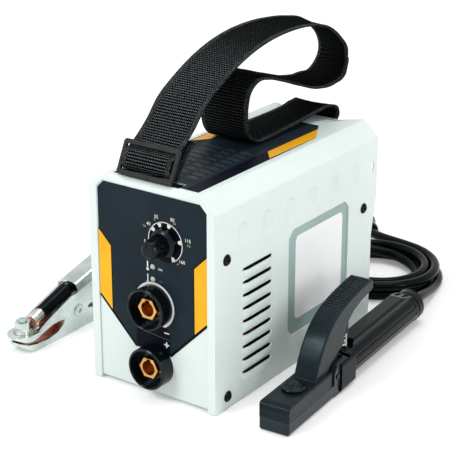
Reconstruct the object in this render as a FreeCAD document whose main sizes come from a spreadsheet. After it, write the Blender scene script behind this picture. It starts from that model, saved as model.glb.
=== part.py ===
import FreeCAD, Part
import math
import os
import Sketcher

# Portable inverter welding set: casing, controls, carrying strap, electrode holder, earth clamp and leads.
# Lengths are millimetres. x runs right, y runs back, z runs up. The origin is the centre of the casing's
# footprint on the floor. In the sizes below, y is measured from the casing's front edge.

SIZES = {
    # casing
    "case_width": 130.0, "case_depth": 254.0, "case_height": 190.0, "base_depth": 247.0, "sheet": 1.2,
    "cover_bottom": 0.4, "roof_chamfer_x": 15.8, "roof_chamfer_z": 13.6, "bend_outer": 3.0, "bend_inner": 1.8,
    "opening_half_width": 57.0, "opening_top": 184.5, "opening_cut": 6.9,
    "dip_length": 8.0, "dip_depth": 4.6, "dip_half_bottom": 30.0, "dip_half_top": 46.0,
    "scoop_length": 32.0, "scoop_depth": 5.0, "scoop_half_bottom": 23.0, "scoop_half_top": 47.0,
    "trim_low_y": 247.0, "trim_low_z": 83.0, "trim_high_z": 119.0,
    "oval_y": 245.1, "oval_z": 149.9, "oval_width": 5.0, "oval_height": 9.0,
    "louvre_count": 9.0, "louvre_top_z": 118.0, "louvre_pitch": 11.75, "louvre_mid_y": 59.5,
    "louvre_radius": 15.1, "louvre_rise": 3.2, "louvre_run": 27.0, "louvre_slot": 1.7,
    "dimple_count": 6.0, "dimple_first_y": 39.0, "dimple_pitch": 35.1, "dimple_mid_z": 149.0,
    "dimple_radius": 11.6, "dimple_depth": 2.8, "dimple_run": 8.0,
    "recess_front_y": 107.0, "recess_rear_y": 205.0, "recess_low_z": 30.0, "recess_high_z": 130.0,
    "recess_chamfer": 7.0, "recess_depth": 2.0,
    "slot_left": 44.0, "slot_right": 24.0, "slot_front_y": 7.4, "slot_rear_y": 17.2,
    "rear_slot_left": 37.0, "rear_slot_right": 33.0, "rear_slot_front_y": 244.4, "rear_slot_rear_y": 250.6,
    "lug_thickness": 1.6, "lug_half_depth": 5.0, "lug_drop": 5.0,
    # screws of the cover
    "screw_shank": 3.9, "screw_hole": 4.5, "screw_tapped": 4.0, "screw_length": 6.0, "screw_head": 10.0,
    "screw_head_height": 2.4, "screw_recess": 1.1, "screw_recess_width": 1.2, "screw_recess_length": 5.0,
    # base, panels, feet
    "base_bottom_z": 3.0, "base_flange_top_z": 22.0, "base_front_y": 3.8, "base_rear_inset": 18.0,
    "base_flange_front_y": 26.0, "base_flange_inset": 32.0, "base_narrow": 1.4, "flange_notch_drop": 11.7,
    "foot_diameter": 18.0, "foot_neck": 8.0, "foot_button": 10.6, "foot_button_height": 2.0,
    "foot_x": 48.0, "foot_front_y": 22.0, "foot_rear_inset": 42.0,
    "panel_front_y": 1.3, "panel_bottom_z": 3.5, "panel_drop": 5.9, "panel_cut_x": 9.96, "panel_cut_z": 8.8,
    "panel_flange_y": 24.0, "panel_flange_drop": 20.0, "panel_foot_y": 15.0,
    "rear_panel_inset": 17.2, "rear_flange_run": 12.8, "rear_panel_drop": 4.8, "rear_panel_cut_x": 11.3,
    "rear_panel_cut_z": 9.8,
    # printed films
    "film": 0.3, "decal_half_width": 56.5, "decal_top_z": 183.4, "decal_cut": 6.7, "decal_shoulder_z": 79.5,
    "decal_foot_half": 18.0, "decal_foot_z": 41.0,
    "label_half_width": 43.0, "label_front_y": 8.2, "label_mid_y": 180.0, "label_rear_y": 213.0,
    "label_rear_half": 26.0, "badge_gap": 0.6, "badge_thickness": 1.0,
    # current control
    "knob_x": 14.4, "knob_z": 143.1, "knob_skirt_radius": 12.5, "knob_grip_radius": 9.5, "knob_cap_radius": 7.0,
    "knob_length": 22.4, "knob_gap": 0.6, "knob_skirt_length": 4.0, "knob_cavity_radius": 8.6,
    "knob_cavity_depth": 4.6, "knob_bore_depth": 15.0, "knob_flutes": 16.0, "knob_flute_radius": 1.3,
    "knob_mark_width": 1.2, "knob_mark_depth": 0.5, "knob_rest_turn": -12.0,
    "pot_shaft": 6.0, "shaft_fit": 0.05, "pot_bush": 9.0, "pot_body": 17.0, "pot_body_depth": 8.5,
    "pot_bush_front_y": -2.6, "pot_nut_across": 13.0, "pot_nut_height": 2.0,
    # lamps
    "lamp_x": 0.75, "lamp_high_z": 118.4, "lamp_low_z": 107.2, "lamp_diameter": 5.0, "lamp_collar": 5.8,
    "lamp_fit": 0.05, "lamp_proud": 1.6,
    # output sockets
    "socket_x": 2.0, "socket_high_z": 84.0, "socket_low_z": 29.7, "collar_radius": 18.7, "collar_inner": 16.5,
    "collar_rim_y": -13.0, "collar_floor_y": -2.2, "collar_bush_radius": 13.5, "collar_bush_y": 12.0,
    "collar_edge": 1.0, "contact_hex_radius": 9.8, "contact_front_y": -8.7, "contact_bore": 13.0,
    "contact_bore_depth": 20.0, "contact_stem_radius": 9.0, "contact_stem_y": 15.0, "contact_stud_radius": 5.0,
    "contact_stud_y": 24.0, "contact_key_width": 4.2, "contact_key_reach": 8.0,
    "lock_nut_radius": 18.4, "lock_nut_height": 6.0, "thread_fit": 0.05,
    # mains switch and cable gland
    "switch_x": -28.0, "switch_drop": 40.0, "switch_width": 22.0, "switch_height": 28.0, "switch_depth": 20.0,
    "switch_bezel": 2.5, "switch_bezel_height": 2.0, "switch_wall": 2.0, "switch_pivot_inset": 4.0,
    "rocker_gap": 0.4, "rocker_pin": 3.0, "rocker_rise": 3.4, "rocker_tilt": 10.0,
    "gland_x": 28.0, "gland_drop": 40.0, "gland_thread_radius": 9.8, "gland_flange_radius": 13.0,
    "gland_flange_height": 5.0, "gland_cap_radius": 11.5, "gland_cap_length": 15.0, "gland_bore_radius": 4.6,
    "gland_inner_length": 10.0, "gland_nut_radius": 13.5, "gland_nut_height": 5.0, "panel_fit": 0.1,
    # fan
    "fan_z": 62.0, "fan_size": 80.0, "fan_depth": 25.0, "fan_bore_radius": 38.0, "fan_screw_offset": 35.75,
    "fan_hub_radius": 18.0, "fan_hub_wall": 1.8, "fan_blade_tip": 36.4, "fan_blade_width": 17.0,
    "fan_blade_thickness": 1.6, "fan_blade_tilt": 42.0, "fan_blades": 7.0, "fan_post_radius": 5.0,
    "fan_shaft": 4.0, "fan_plate": 3.0, "fan_spoke": 4.0, "fan_hole_radius": 37.0, "fan_screw": 4.0,
    "fan_screw_head": 7.6, "fan_screw_head_height": 2.4, "fan_screw_length": 14.0,
    "guard_wire": 2.2, "guard_ring_step": 9.5, "guard_stand": 3.0, "guard_ear": 5.0, "guard_ear_plate": 1.4,
    # power circuit
    "board_front_y": 32.0, "board_rear_y": 206.0, "board_half_width": 54.0, "board_z": 14.0, "board_thickness": 1.6,
    "standoff_diameter": 8.0, "standoff_x": 46.0, "sink_base": 5.0, "sink_width": 34.0, "sink_front_y": 118.0,
    "sink_rear_y": 200.0, "sink_height": 62.0, "sink_fin": 1.6, "sink_fins": 6.0, "sink_x": 12.0,
    "transistor_width": 16.0, "transistor_height": 21.0, "transistor_thickness": 5.0, "transistor_pitch": 20.0,
    "transistor_lead": 1.2, "capacitor_diameter": 26.0, "capacitor_height": 44.0, "capacitor_pitch": 28.0,
    "capacitor_y": 48.0, "core_width": 52.0, "core_depth": 22.0, "core_height": 48.0, "core_limb": 9.0,
    "core_y": 78.0, "core_x": -24.0, "winding_gap": 0.3, "winding_overhang": 8.0, "choke_x": 29.0, "choke_y": 90.0,
    "choke_ring": 16.0, "choke_wire": 7.0, "control_half_width": 50.0, "control_low_z": 100.0,
    "control_high_z": 164.0, "busbar_width": 14.0, "busbar_thickness": 3.0, "busbar_run": 19.0,
    # carrying strap
    "strap_width": 50.0, "strap_thickness": 1.7, "strap_left": -35.0, "bar_diameter": 5.0, "bar_overhang": 3.0,
    "front_bar_y": 12.0, "front_bar_drop": 11.0, "rear_bar_y": 245.5, "rear_bar_drop": 16.0,
    "slider_y": 12.0, "slider_rise": 14.3, "slider_lean": 26.0, "slider_width": 57.0, "slider_height": 30.0,
    "slider_thickness": 3.0, "slider_rail": 3.0, "slider_bar": 4.0, "slider_mid_half": 2.8, "slider_mid_thin": 2.2,
    # electrode holder, in its own frame: x across, y from nose to tail
    "holder_x": 119.1, "holder_y": 7.7, "holder_turn": 4.0, "holder_half_width": 14.0, "jaw_front": -3.0,
    "jaw_rear": 71.0, "jaw_low_z": 11.9, "jaw_gap": 0.4, "jaw_top_z": 26.0,
    "jaw_round": 2.4, "holder_pin_y": 82.0, "holder_pin_z": 18.0, "holder_pin": 5.0, "cheek_inner": 9.0,
    "cheek_rear": 104.0, "cheek_front": 76.0, "cheek_top_z": 29.0, "body_floor": 8.0, "web_half": 8.5,
    "arm_half": 10.5, "tube_front": 100.0, "tube_rear": 258.0, "tube_z": 15.4, "tube_core": 10.6,
    "tube_outer": 14.6, "tube_flute": 2.2, "tube_flutes": 14.0, "tube_collar": 15.3,
    "holder_cap_y": 29.0, "holder_cap_radius": 9.8, "holder_cap_height": 3.2, "holder_cap_hole": 5.0,
    "contact_half": 7.0, "contact_depth": 3.0, "contact_front": 0.0, "contact_rear": 40.0, "grip_groove": 1.4,
    "spring_y": 112.5, "spring_seat_z": 44.4, "spring_foot": 0.75, "spring_radius": 5.0, "spring_wire": 1.4,
    "spring_turns": 4.0, "back_front": 121.0, "back_top": 34.5, "back_half": 8.0, "cup_half": 16.0, "cup_inner": 14.4,
    "cup_front": 86.0, "cup_rear": 112.0, "cup_top": 29.5,
    # earth clamp, in its own frame: x across, y from nose to handles
    "clamp_x": -150.0, "clamp_half": 13.0, "clamp_inner_half": 10.8, "clamp_sheet": 2.0, "clamp_nose_y": -1.5,
    "rivet_y": 61.7, "rivet_z": 20.0, "rivet_diameter": 8.0, "rivet_head": 12.0, "rivet_head_height": 1.6,
    "clamp_bolt_y": 0.5, "clamp_bolt_diameter": 8.0, "clamp_nut_across": 13.0, "clamp_bolt_head": 12.0,
    "clamp_bolt_head_height": 2.6, "clamp_bolt_top_z": 30.6, "clamp_web_z": 17.8, "clamp_channel_y": 9.2,
    "clamp_hood_y": 62.0, "clamp_hood_round": 8.0, "clamp_nut_height": 6.4, "lug_plate": 2.4, "contact_strip": 1.5,
    "clamp_spring_y": 96.0, "clamp_seat_z": 26.0, "clamp_spring_radius": 6.0, "clamp_spring_wire": 1.8,
    "clamp_spring_turns": 6.0,
    "sleeve_small": 6.0, "sleeve_large": 7.4,
    # leads and plugs
    "lead_diameter": 9.6, "lead_gap": 0.6, "electrode_coil_x": 24.0, "electrode_coil_y": 329.0,
    "electrode_coil_radius": 64.5, "earth_coil_x": -170.0, "earth_coil_y": 332.0, "earth_coil_radius": 64.5,
    "plug_radius": 12.4, "plug_length": 58.0, "plug_neck_radius": 8.4, "plug_pin_radius": 6.4,
    "plug_pin_length": 24.0, "plug_key": 4.0,
}

doc = FreeCAD.newDocument("welding_set")
sheet = doc.addObject("Spreadsheet::Sheet", "dims")
for row, (name, number) in enumerate(SIZES.items(), start=1):
    sheet.set("A%d" % row, name)
    sheet.set("B%d" % row, repr(number))
    sheet.setAlias("B%d" % row, name)
doc.recompute()


# A size carries its number for the geometry that needs one and its text for the bound expression.
class Size:
    def __init__(self, value, text=None):
        self.value = float(value)
        self.text = text if text is not None else repr(float(value))

    def __add__(self, other):
        other = size(other)
        return Size(self.value + other.value, "(%s + %s)" % (self.text, other.text))

    def __radd__(self, other):
        return size(other) + self

    def __sub__(self, other):
        other = size(other)
        return Size(self.value - other.value, "(%s - %s)" % (self.text, other.text))

    def __rsub__(self, other):
        return size(other) - self

    def __mul__(self, other):
        other = size(other)
        return Size(self.value * other.value, "(%s * %s)" % (self.text, other.text))

    def __rmul__(self, other):
        return size(other) * self

    def __truediv__(self, other):
        other = size(other)
        return Size(self.value / other.value, "(%s / %s)" % (self.text, other.text))

    def __neg__(self):
        return Size(-self.value, "(-1 * %s)" % self.text)


def size(number):
    return number if isinstance(number, Size) else Size(number)


def root(number):
    return Size(math.sqrt(number.value), "sqrt(%s)" % number.text)


class Sizes:
    def __getattr__(self, name):
        return Size(SIZES[name], "dims.%s" % name)


s = Sizes()
FRONT = -s.base_depth / 2
LOCAL = Size(0.0, "0")
AXES = {"x": FreeCAD.Vector(1, 0, 0), "y": FreeCAD.Vector(0, 1, 0), "z": FreeCAD.Vector(0, 0, 1)}
TURNS = {
    "x": FreeCAD.Rotation(FreeCAD.Vector(0, 1, 0), 90),
    "y": FreeCAD.Rotation(FreeCAD.Vector(1, 0, 0), -90),
    "z": FreeCAD.Rotation(),
}
# The y that a helper's own y is counted from: the casing's front edge, or nothing in a piece's own frame.
origin_y = FRONT
nodes = []

# Pieces that keep their distance from the roof or from the casing's rear edge.
panel_top_z = s.case_height - s.panel_drop
panel_flange_top_z = s.case_height - s.panel_flange_drop
rear_panel_top_z = s.case_height - s.rear_panel_drop
switch_z = s.case_height - s.switch_drop
gland_z = s.case_height - s.gland_drop
front_bar_z = s.case_height - s.front_bar_drop
rear_bar_z = s.case_height - s.rear_bar_drop
slider_z = s.case_height + s.slider_rise
base_rear_y = s.case_depth - s.base_rear_inset
base_flange_rear_y = s.case_depth - s.base_flange_inset
foot_rear_y = s.case_depth - s.foot_rear_inset
rear_panel_y = s.case_depth - s.rear_panel_inset
rear_flange_y = rear_panel_y - s.rear_flange_run


def whole(number):
    return int(round(number.value))


def add(kind, name):
    return doc.addObject(kind, name)


def bind(item, prop, number):
    item.setExpression(prop, number.text)


def put(item, x, y, z, turn=None):
    place = [size(x), size(y), size(z)]
    item.Placement = FreeCAD.Placement(FreeCAD.Vector(*[p.value for p in place]), turn or FreeCAD.Rotation())
    for letter, number in zip("xyz", place):
        bind(item, "Placement.Base.%s" % letter, number)
    return item


def block(x, y, z, dx, dy, dz):
    item = add("Part::Box", "block")
    for prop, number in (("Length", dx), ("Width", dy), ("Height", dz)):
        bind(item, prop, size(number))
    return put(item, x, origin_y + y, z)


def rod(axis, x, y, z, radius, length):
    item = add("Part::Cylinder", "rod")
    bind(item, "Radius", size(radius))
    bind(item, "Height", size(length))
    return put(item, x, origin_y + y, z, TURNS[axis])


def cone(axis, x, y, z, radius, radius_end, length):
    item = add("Part::Cone", "cone")
    bind(item, "Radius1", size(radius))
    bind(item, "Radius2", size(radius_end))
    bind(item, "Height", size(length))
    return put(item, x, origin_y + y, z, TURNS[axis])


def ball(x, y, z, radius):
    item = add("Part::Sphere", "ball")
    bind(item, "Radius", size(radius))
    return put(item, x, origin_y + y, z)


def hoop(axis, x, y, z, radius, thick):
    item = add("Part::Torus", "hoop")
    bind(item, "Radius1", size(radius))
    bind(item, "Radius2", size(thick))
    return put(item, x, origin_y + y, z, TURNS[axis])


def hexagon(axis, x, y, z, radius, length, turn=0.0):
    item = add("Part::Prism", "hexagon")
    item.Polygon = 6
    bind(item, "Circumradius", size(radius))
    bind(item, "Height", size(length))
    return put(item, x, origin_y + y, z, TURNS[axis].multiply(FreeCAD.Rotation(FreeCAD.Vector(0, 0, 1), turn)))


def outline(points, x, y, z, turn):
    item = add("Sketcher::SketchObject", "outline")
    points = [(size(u), size(v)) for u, v in points]
    count = len(points)
    for k in range(count):
        here = FreeCAD.Vector(points[k][0].value, points[k][1].value, 0)
        there = FreeCAD.Vector(points[(k + 1) % count][0].value, points[(k + 1) % count][1].value, 0)
        item.addGeometry(Part.LineSegment(here, there), False)
    for k in range(count):
        item.addConstraint(Sketcher.Constraint("Coincident", k, 2, (k + 1) % count, 1))
    for k, (u, v) in enumerate(points):
        for kind, number in (("DistanceX", u), ("DistanceY", v)):
            index = item.addConstraint(Sketcher.Constraint(kind, -1, 1, k, 1, number.value))
            bind(item, "Constraints[%d]" % index, number)
    return put(item, x, y, z, turn)


FLAT = {
    "xz": FreeCAD.Rotation(FreeCAD.Vector(1, 0, 0), 90),
    "yz": FreeCAD.Rotation(FreeCAD.Vector(1, 1, 1), 120),
    "xy": FreeCAD.Rotation(),
}


def sweep_along(sketch, direction, length):
    item = add("Part::Extrusion", "prism")
    item.Base = sketch
    item.DirMode = "Custom"
    item.Dir = direction
    item.Solid = True
    bind(item, "LengthFwd", size(length))
    return item


def prism(points, plane, start, length):
    if plane == "xz":
        sketch = outline(points, 0, origin_y + start, 0, FLAT[plane])
        return sweep_along(sketch, AXES["y"], length)
    if plane == "yz":
        sketch = outline(points, start, origin_y, 0, FLAT[plane])
        return sweep_along(sketch, AXES["x"], length)
    sketch = outline(points, 0, origin_y, start, FLAT[plane])
    return sweep_along(sketch, AXES["z"], length)


# A turned shape: the profile is (radius, height) along the axis from the given centre.
def lathe(axis, x, y, z, profile):
    turn = {
        "x": FreeCAD.Rotation(FreeCAD.Vector(1, 1, 0), 180),
        "y": FreeCAD.Rotation(),
        "z": FreeCAD.Rotation(FreeCAD.Vector(1, 0, 0), 90),
    }[axis]
    item = add("Part::Revolution", "turned")
    item.Source = outline(profile, x, origin_y + y, z, turn)
    item.Axis = AXES[axis]
    item.Angle = 360
    item.Solid = True
    for letter, number in zip("xyz", (size(x), origin_y + y, size(z))):
        bind(item, "Base.%s" % letter, number)
    return item


def fuse(*items):
    item = add("Part::MultiFuse", "union")
    item.Shapes = list(items)
    item.Refine = True
    return item


def common(*items):
    item = add("Part::MultiCommon", "overlap")
    item.Shapes = list(items)
    return item


def cut(base, *tools):
    item = add("Part::Cut", "remainder")
    item.Base = base
    item.Tool = tools[0] if len(tools) == 1 else fuse(*tools)
    item.Refine = True
    return item


def copy_at(source, x, y, z, turn=None):
    item = add("App::Link", "copy")
    item.LinkedObject = source
    item.LinkTransform = True
    return put(item, x, y, z, turn)


def mirrored(source):
    item = add("Part::Mirroring", "mirrored")
    item.Source = source
    item.Normal = FreeCAD.Vector(1, 0, 0)
    return item


def soften(source, radius, chosen):
    doc.recompute()
    item = add("Part::Fillet", "softened")
    item.Base = source
    picks = [(k + 1, radius.value, radius.value) for k, edge in enumerate(source.Shape.Edges) if chosen(edge)]
    if not picks:
        raise RuntimeError("no edge to round on %s" % source.Label)
    item.Edges = picks
    return item


def runs_along(edge, axis):
    if not isinstance(edge.Curve, Part.Line):
        return False
    line = edge.Vertexes[1].Point.sub(edge.Vertexes[0].Point)
    return abs(abs(line.normalize().dot(AXES[axis])) - 1) < 1e-6


def node(name, *items):
    if len(items) == 1:
        item = items[0]
    else:
        item = add("Part::Compound", name)
        item.Links = list(items)
    item.Label = name
    nodes.append(item)
    return item


def moved(item, x, y, z, turn):
    group = add("Part::Compound", "set")
    group.Links = [item] if not isinstance(item, (list, tuple)) else list(item)
    return put(group, x, y, z, turn)

half = s.case_width / 2
shoulder_z = s.case_height - s.roof_chamfer_z
roof_half = half - s.roof_chamfer_x
chamfer_run = root(s.roof_chamfer_x * s.roof_chamfer_x + s.roof_chamfer_z * s.roof_chamfer_z)
inner_half = half - s.sheet
inner_top = s.case_height - s.sheet
inner_shoulder_z = shoulder_z - s.sheet * (chamfer_run - s.roof_chamfer_z) / s.roof_chamfer_x
inner_roof_half = roof_half - s.sheet * (chamfer_run - s.roof_chamfer_x) / s.roof_chamfer_z


def gable(half_low, low, shoulder, half_high, high):
    return [(-half_low, low), (half_low, low), (half_low, shoulder), (half_high, high), (-half_high, high),
            (-half_low, shoulder)]


# The strap dips the roof at the front edge and scoops it at the rear edge.
def hollow(edge_y, backwards, length, depth, half_bottom, half_top, drop):
    margin = 0.1
    over = half_top + (half_top - half_bottom) * margin
    high = s.case_height + depth * margin - drop
    low = s.case_height - depth - drop
    points = [(-over, high), (over, high), (half_bottom, low), (-half_bottom, low)]
    sign = 1 if backwards else -1
    start = edge_y - length * margin * sign
    points = [(u, v - depth * margin) for u, v in points]
    sketch = outline(points, 0, origin_y + start, 0, FLAT["xz"])
    return sweep_along(sketch, FreeCAD.Vector(0, sign * length.value, depth.value), length * 1.4)


def hollows(drop):
    front = hollow(Size(0, "0"), True, s.dip_length, s.dip_depth, s.dip_half_bottom, s.dip_half_top, drop)
    rear = hollow(s.case_depth, False, s.scoop_length, s.scoop_depth, s.scoop_half_bottom, s.scoop_half_top, drop)
    return [front, rear]


def shell_solid():
    outer = prism(gable(half, s.cover_bottom, shoulder_z, roof_half, s.case_height), "xz", 0, s.case_depth)
    outer = soften(outer, s.bend_outer, lambda e: runs_along(e, "y") and e.CenterOfMass.z > 100)
    inner = prism(gable(inner_half, s.cover_bottom - 2, inner_shoulder_z, inner_roof_half, inner_top), "xz",
                  s.sheet, s.case_depth)
    inner = soften(inner, s.bend_inner, lambda e: runs_along(e, "y") and e.CenterOfMass.z > 100)
    mouth_half = s.opening_half_width
    mouth = prism(gable(mouth_half, s.cover_bottom - 2, s.opening_top - s.opening_cut, mouth_half - s.opening_cut,
                        s.opening_top), "xz", -s.sheet, s.sheet * 3)
    return outer, cut(outer, inner, mouth)


def capsule(axis, radius, run):
    if axis == "z":
        parts = [rod("z", 0, 0, -run / 2, radius, run), ball(0, 0, -run / 2, radius), ball(0, 0, run / 2, radius)]
    else:
        parts = [rod("y", 0, -run / 2, 0, radius, run), ball(0, -run / 2, 0, radius), ball(0, run / 2, 0, radius)]
    return fuse(*parts)


def chamfered(low_y, high_y, low_z, high_z, corner):
    return [(low_y + corner, low_z), (high_y - corner, low_z), (high_y, low_z + corner), (high_y, high_z - corner),
            (high_y - corner, high_z), (low_y + corner, high_z), (low_y, high_z - corner), (low_y, low_z + corner)]


def badge_outline(grow):
    return chamfered(s.recess_front_y - grow, s.recess_rear_y + grow, s.recess_low_z - grow,
                     s.recess_high_z + grow, s.recess_chamfer)


def slab_each_side(points, inner_x, thickness):
    right = prism(points, "yz", inner_x, thickness)
    left = prism(points, "yz", -inner_x - thickness, thickness)
    return [right, left]


screw_spots = [(16.0, 134.8), (17.3, 11.4), (134.1, 10.5), (s.case_depth - 22.7, 113.3)]

outer_solid, shell = shell_solid()
origin_y = LOCAL
dimple_tool = capsule("z", s.dimple_radius, s.dimple_run)
dimple_wall = capsule("z", s.dimple_radius + s.sheet, s.dimple_run)
hood_long = s.louvre_radius * 4
hood_outside = common(
    capsule("y", s.louvre_radius, s.louvre_run),
    block(-s.louvre_radius * 2, -hood_long, -s.louvre_radius * 2, hood_long, hood_long * 2, s.louvre_radius * 2))
hood_inside = common(
    capsule("y", s.louvre_radius - s.sheet, s.louvre_run),
    block(-s.louvre_radius * 2, -hood_long, -s.louvre_radius * 2, hood_long, hood_long * 2, s.louvre_radius * 2))
origin_y = FRONT
hood_axis = half + s.louvre_rise - s.louvre_radius
slot_half = s.louvre_run / 2 + s.louvre_radius * 0.47
additions = []
removals = []
for side in (1, -1):
    for k in range(whole(s.dimple_count)):
        dimple_y = origin_y + s.dimple_first_y + s.dimple_pitch * k
        dimple_x = side * (half + s.dimple_radius - s.dimple_depth)
        additions.append(copy_at(dimple_wall, dimple_x, dimple_y, s.dimple_mid_z))
        removals.append(copy_at(dimple_tool, dimple_x, dimple_y, s.dimple_mid_z))
dimple_walls = common(fuse(*additions), outer_solid)
hoods = []
for side in (1, -1):
    for k in range(whole(s.louvre_count)):
        hood_z = s.louvre_top_z - s.louvre_pitch * k
        mid_y = origin_y + s.louvre_mid_y
        hoods.append(copy_at(hood_outside, side * hood_axis, mid_y, hood_z))
        removals.append(copy_at(hood_inside, side * hood_axis, mid_y, hood_z))
        slot_x = half - s.sheet * 1.5 if side > 0 else -half - s.louvre_rise * 1.5
        removals.append(block(slot_x, s.louvre_mid_y - slot_half, hood_z, s.sheet * 1.5 + s.louvre_rise * 1.5,
                              slot_half * 2, s.louvre_slot))
inside_core = prism(gable(inner_half - s.sheet * 0.4, s.cover_bottom, inner_shoulder_z, inner_roof_half, inner_top),
                    "xz", s.sheet, s.case_depth)
hood_shells = cut(fuse(*hoods), inside_core)
recess_walls = slab_each_side(badge_outline(s.sheet), half - s.recess_depth - s.sheet, s.recess_depth + s.sheet)
removals += slab_each_side(badge_outline(Size(0, "0")), half - s.recess_depth, s.recess_depth * 2)
roof_walls = common(fuse(*hollows(s.sheet)), outer_solid)
bar_ends = [
    (-s.slot_left - s.bar_overhang, s.slot_right + s.bar_overhang, s.front_bar_y, front_bar_z),
    (-s.rear_slot_left - s.bar_overhang / 2, s.rear_slot_right + s.bar_overhang / 2, s.rear_bar_y, rear_bar_z),
]
lugs = []
for left, right, bar_y, bar_z in bar_ends:
    low = bar_z - s.lug_drop
    high = s.case_height - s.sheet * 0.7 - low
    lugs.append(block(left, bar_y - s.lug_half_depth, low, s.lug_thickness, s.lug_half_depth * 2, high))
    lugs.append(block(right - s.lug_thickness, bar_y - s.lug_half_depth, low, s.lug_thickness,
                      s.lug_half_depth * 2, high))
    removals.append(rod("x", left - 1, bar_y, bar_z, s.bar_diameter / 2, right - left + 2))
removals += hollows(Size(0, "0"))
removals.append(block(-s.slot_left, s.slot_front_y, s.case_height - 12, s.slot_left + s.slot_right,
                      s.slot_rear_y - s.slot_front_y, 14))
removals.append(block(-s.rear_slot_left, s.rear_slot_front_y, s.case_height - 10.5,
                      s.rear_slot_left + s.rear_slot_right, s.rear_slot_rear_y - s.rear_slot_front_y, 12.5))
removals.append(prism([(s.trim_low_y, s.cover_bottom - 4), (s.trim_low_y, s.trim_low_z),
                       (s.case_depth, s.trim_high_z), (s.case_depth + 6, s.trim_high_z),
                       (s.case_depth + 6, s.cover_bottom - 4)], "yz", -half - 4, s.case_width + 8))
oval_run = s.oval_height - s.oval_width
removals.append(block(-half - 4, s.oval_y - s.oval_width / 2, s.oval_z - oval_run / 2, s.case_width + 8,
                      s.oval_width, oval_run))
for end in (-1, 1):
    removals.append(rod("x", -half - 4, s.oval_y, s.oval_z + end * oval_run / 2, s.oval_width / 2,
                        s.case_width + 8))
for y, z in screw_spots:
    removals.append(rod("x", -half - 4, y, z, s.screw_hole / 2, s.case_width + 8))
cover = cut(fuse(shell, hood_shells, dimple_walls, roof_walls, *recess_walls, *lugs), *removals)
node("cover", cover)

# Truss-head screws, four on each side, threaded into the flanges behind the cover.
screws = []
for side in (1, -1):
    for y, z in screw_spots:
        head_x = half if side > 0 else -half - s.screw_head_height
        radius = s.screw_head / 2
        rise = s.screw_head_height
        near = Size(0, "0") if side > 0 else rise
        far = rise - near
        head = lathe("x", head_x, y, z, [(0, near), (radius, near), (radius * 0.94, near + (far - near) * 0.35),
                                         (radius * 0.72, near + (far - near) * 0.75),
                                         (radius * 0.4, near + (far - near) * 0.95), (0, far)])
        shank_x = half - s.screw_length if side > 0 else -half
        shank = rod("x", shank_x, y, z, s.screw_shank / 2, s.screw_length)
        cross_x = half + rise - s.screw_recess if side > 0 else -half - rise - 1
        cross_deep = s.screw_recess + 1
        slot_long = s.screw_recess_length
        slot_wide = s.screw_recess_width
        cross = [
            block(cross_x, y - slot_long / 2, z - slot_wide / 2, cross_deep, slot_long, slot_wide),
            block(cross_x, y - slot_wide / 2, z - slot_long / 2, cross_deep, slot_wide, slot_long),
        ]
        screws.append(cut(fuse(head, shank), *cross))
node("cover_screws", *screws)

# Base tray, front panel and rear panel inside the cover.
tray_half = inner_half
base_top = s.base_bottom_z + s.sheet
narrow = tray_half - s.base_narrow
feet_spots = [(x, y) for x in (-s.foot_x, s.foot_x) for y in (s.foot_front_y, foot_rear_y)]
tray = fuse(
    block(-narrow, s.base_front_y, s.base_bottom_z, narrow * 2, base_rear_y - s.base_front_y, s.sheet),
    block(-tray_half, s.base_flange_front_y, s.base_bottom_z, tray_half * 2,
          base_flange_rear_y - s.base_flange_front_y, s.sheet),
    block(-tray_half, s.base_flange_front_y, s.base_bottom_z, s.sheet,
          base_flange_rear_y - s.base_flange_front_y, s.base_flange_top_z - s.base_bottom_z),
    block(tray_half - s.sheet, s.base_flange_front_y, s.base_bottom_z, s.sheet,
          base_flange_rear_y - s.base_flange_front_y, s.base_flange_top_z - s.base_bottom_z))
tray_holes = [rod("z", x, y, s.base_bottom_z - 1, s.foot_neck / 2, s.sheet + 2) for x, y in feet_spots]
tapped = [rod("x", -half - 4, y, z, s.screw_tapped / 2, s.case_width + 8) for y, z in screw_spots]
# The flanges are cut away behind the lowest pair of louvres.
notch_low_z = s.louvre_top_z - s.louvre_pitch * (s.louvre_count - 1) - s.flange_notch_drop
notch_half = s.louvre_run / 2 + s.louvre_radius
notch = block(-tray_half - 1, s.louvre_mid_y - notch_half, notch_low_z, tray_half * 2 + 2, notch_half * 2,
              s.base_flange_top_z - notch_low_z + 1)
node("base_chassis", cut(tray, notch, *tray_holes, tapped[2]))

feet = []
for x, y in feet_spots:
    wide = s.foot_diameter / 2
    neck = s.foot_neck / 2
    button = s.foot_button / 2
    top = base_top + s.foot_button_height
    feet.append(lathe("z", x, y, 0, [(0, 0), (wide * 0.86, 0), (wide, s.base_bottom_z * 0.4), (wide, s.base_bottom_z),
                                     (neck, s.base_bottom_z), (neck, base_top), (button, base_top),
                                     (neck * 0.9, top), (0, top)]))
node("rubber_feet", *feet)

panel_back = s.panel_front_y + s.sheet
collar_hole = s.collar_bush_radius + s.panel_fit
socket_spots = [s.socket_high_z, s.socket_low_z]
lamp_spots = [s.lamp_high_z, s.lamp_low_z]
plate = prism(gable(tray_half, s.panel_bottom_z, panel_top_z - s.panel_cut_z, tray_half - s.panel_cut_x,
                    panel_top_z), "xz", s.panel_front_y, s.sheet)
panel_parts = [plate]
for left in (-tray_half, tray_half - s.sheet):
    panel_parts.append(block(left, s.panel_front_y, s.panel_bottom_z, s.sheet, s.panel_flange_y - s.panel_front_y,
                             panel_flange_top_z - s.panel_bottom_z))
panel_parts.append(block(-narrow, panel_back - s.sheet / 2, base_top, narrow * 2, s.panel_foot_y - panel_back,
                         s.sheet))
panel_holes = [rod("y", s.socket_x, 0, z, collar_hole, s.panel_flange_y) for z in socket_spots]
panel_holes += [rod("y", s.lamp_x, 0, z, s.lamp_diameter / 2 + s.panel_fit, 8) for z in lamp_spots]
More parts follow.
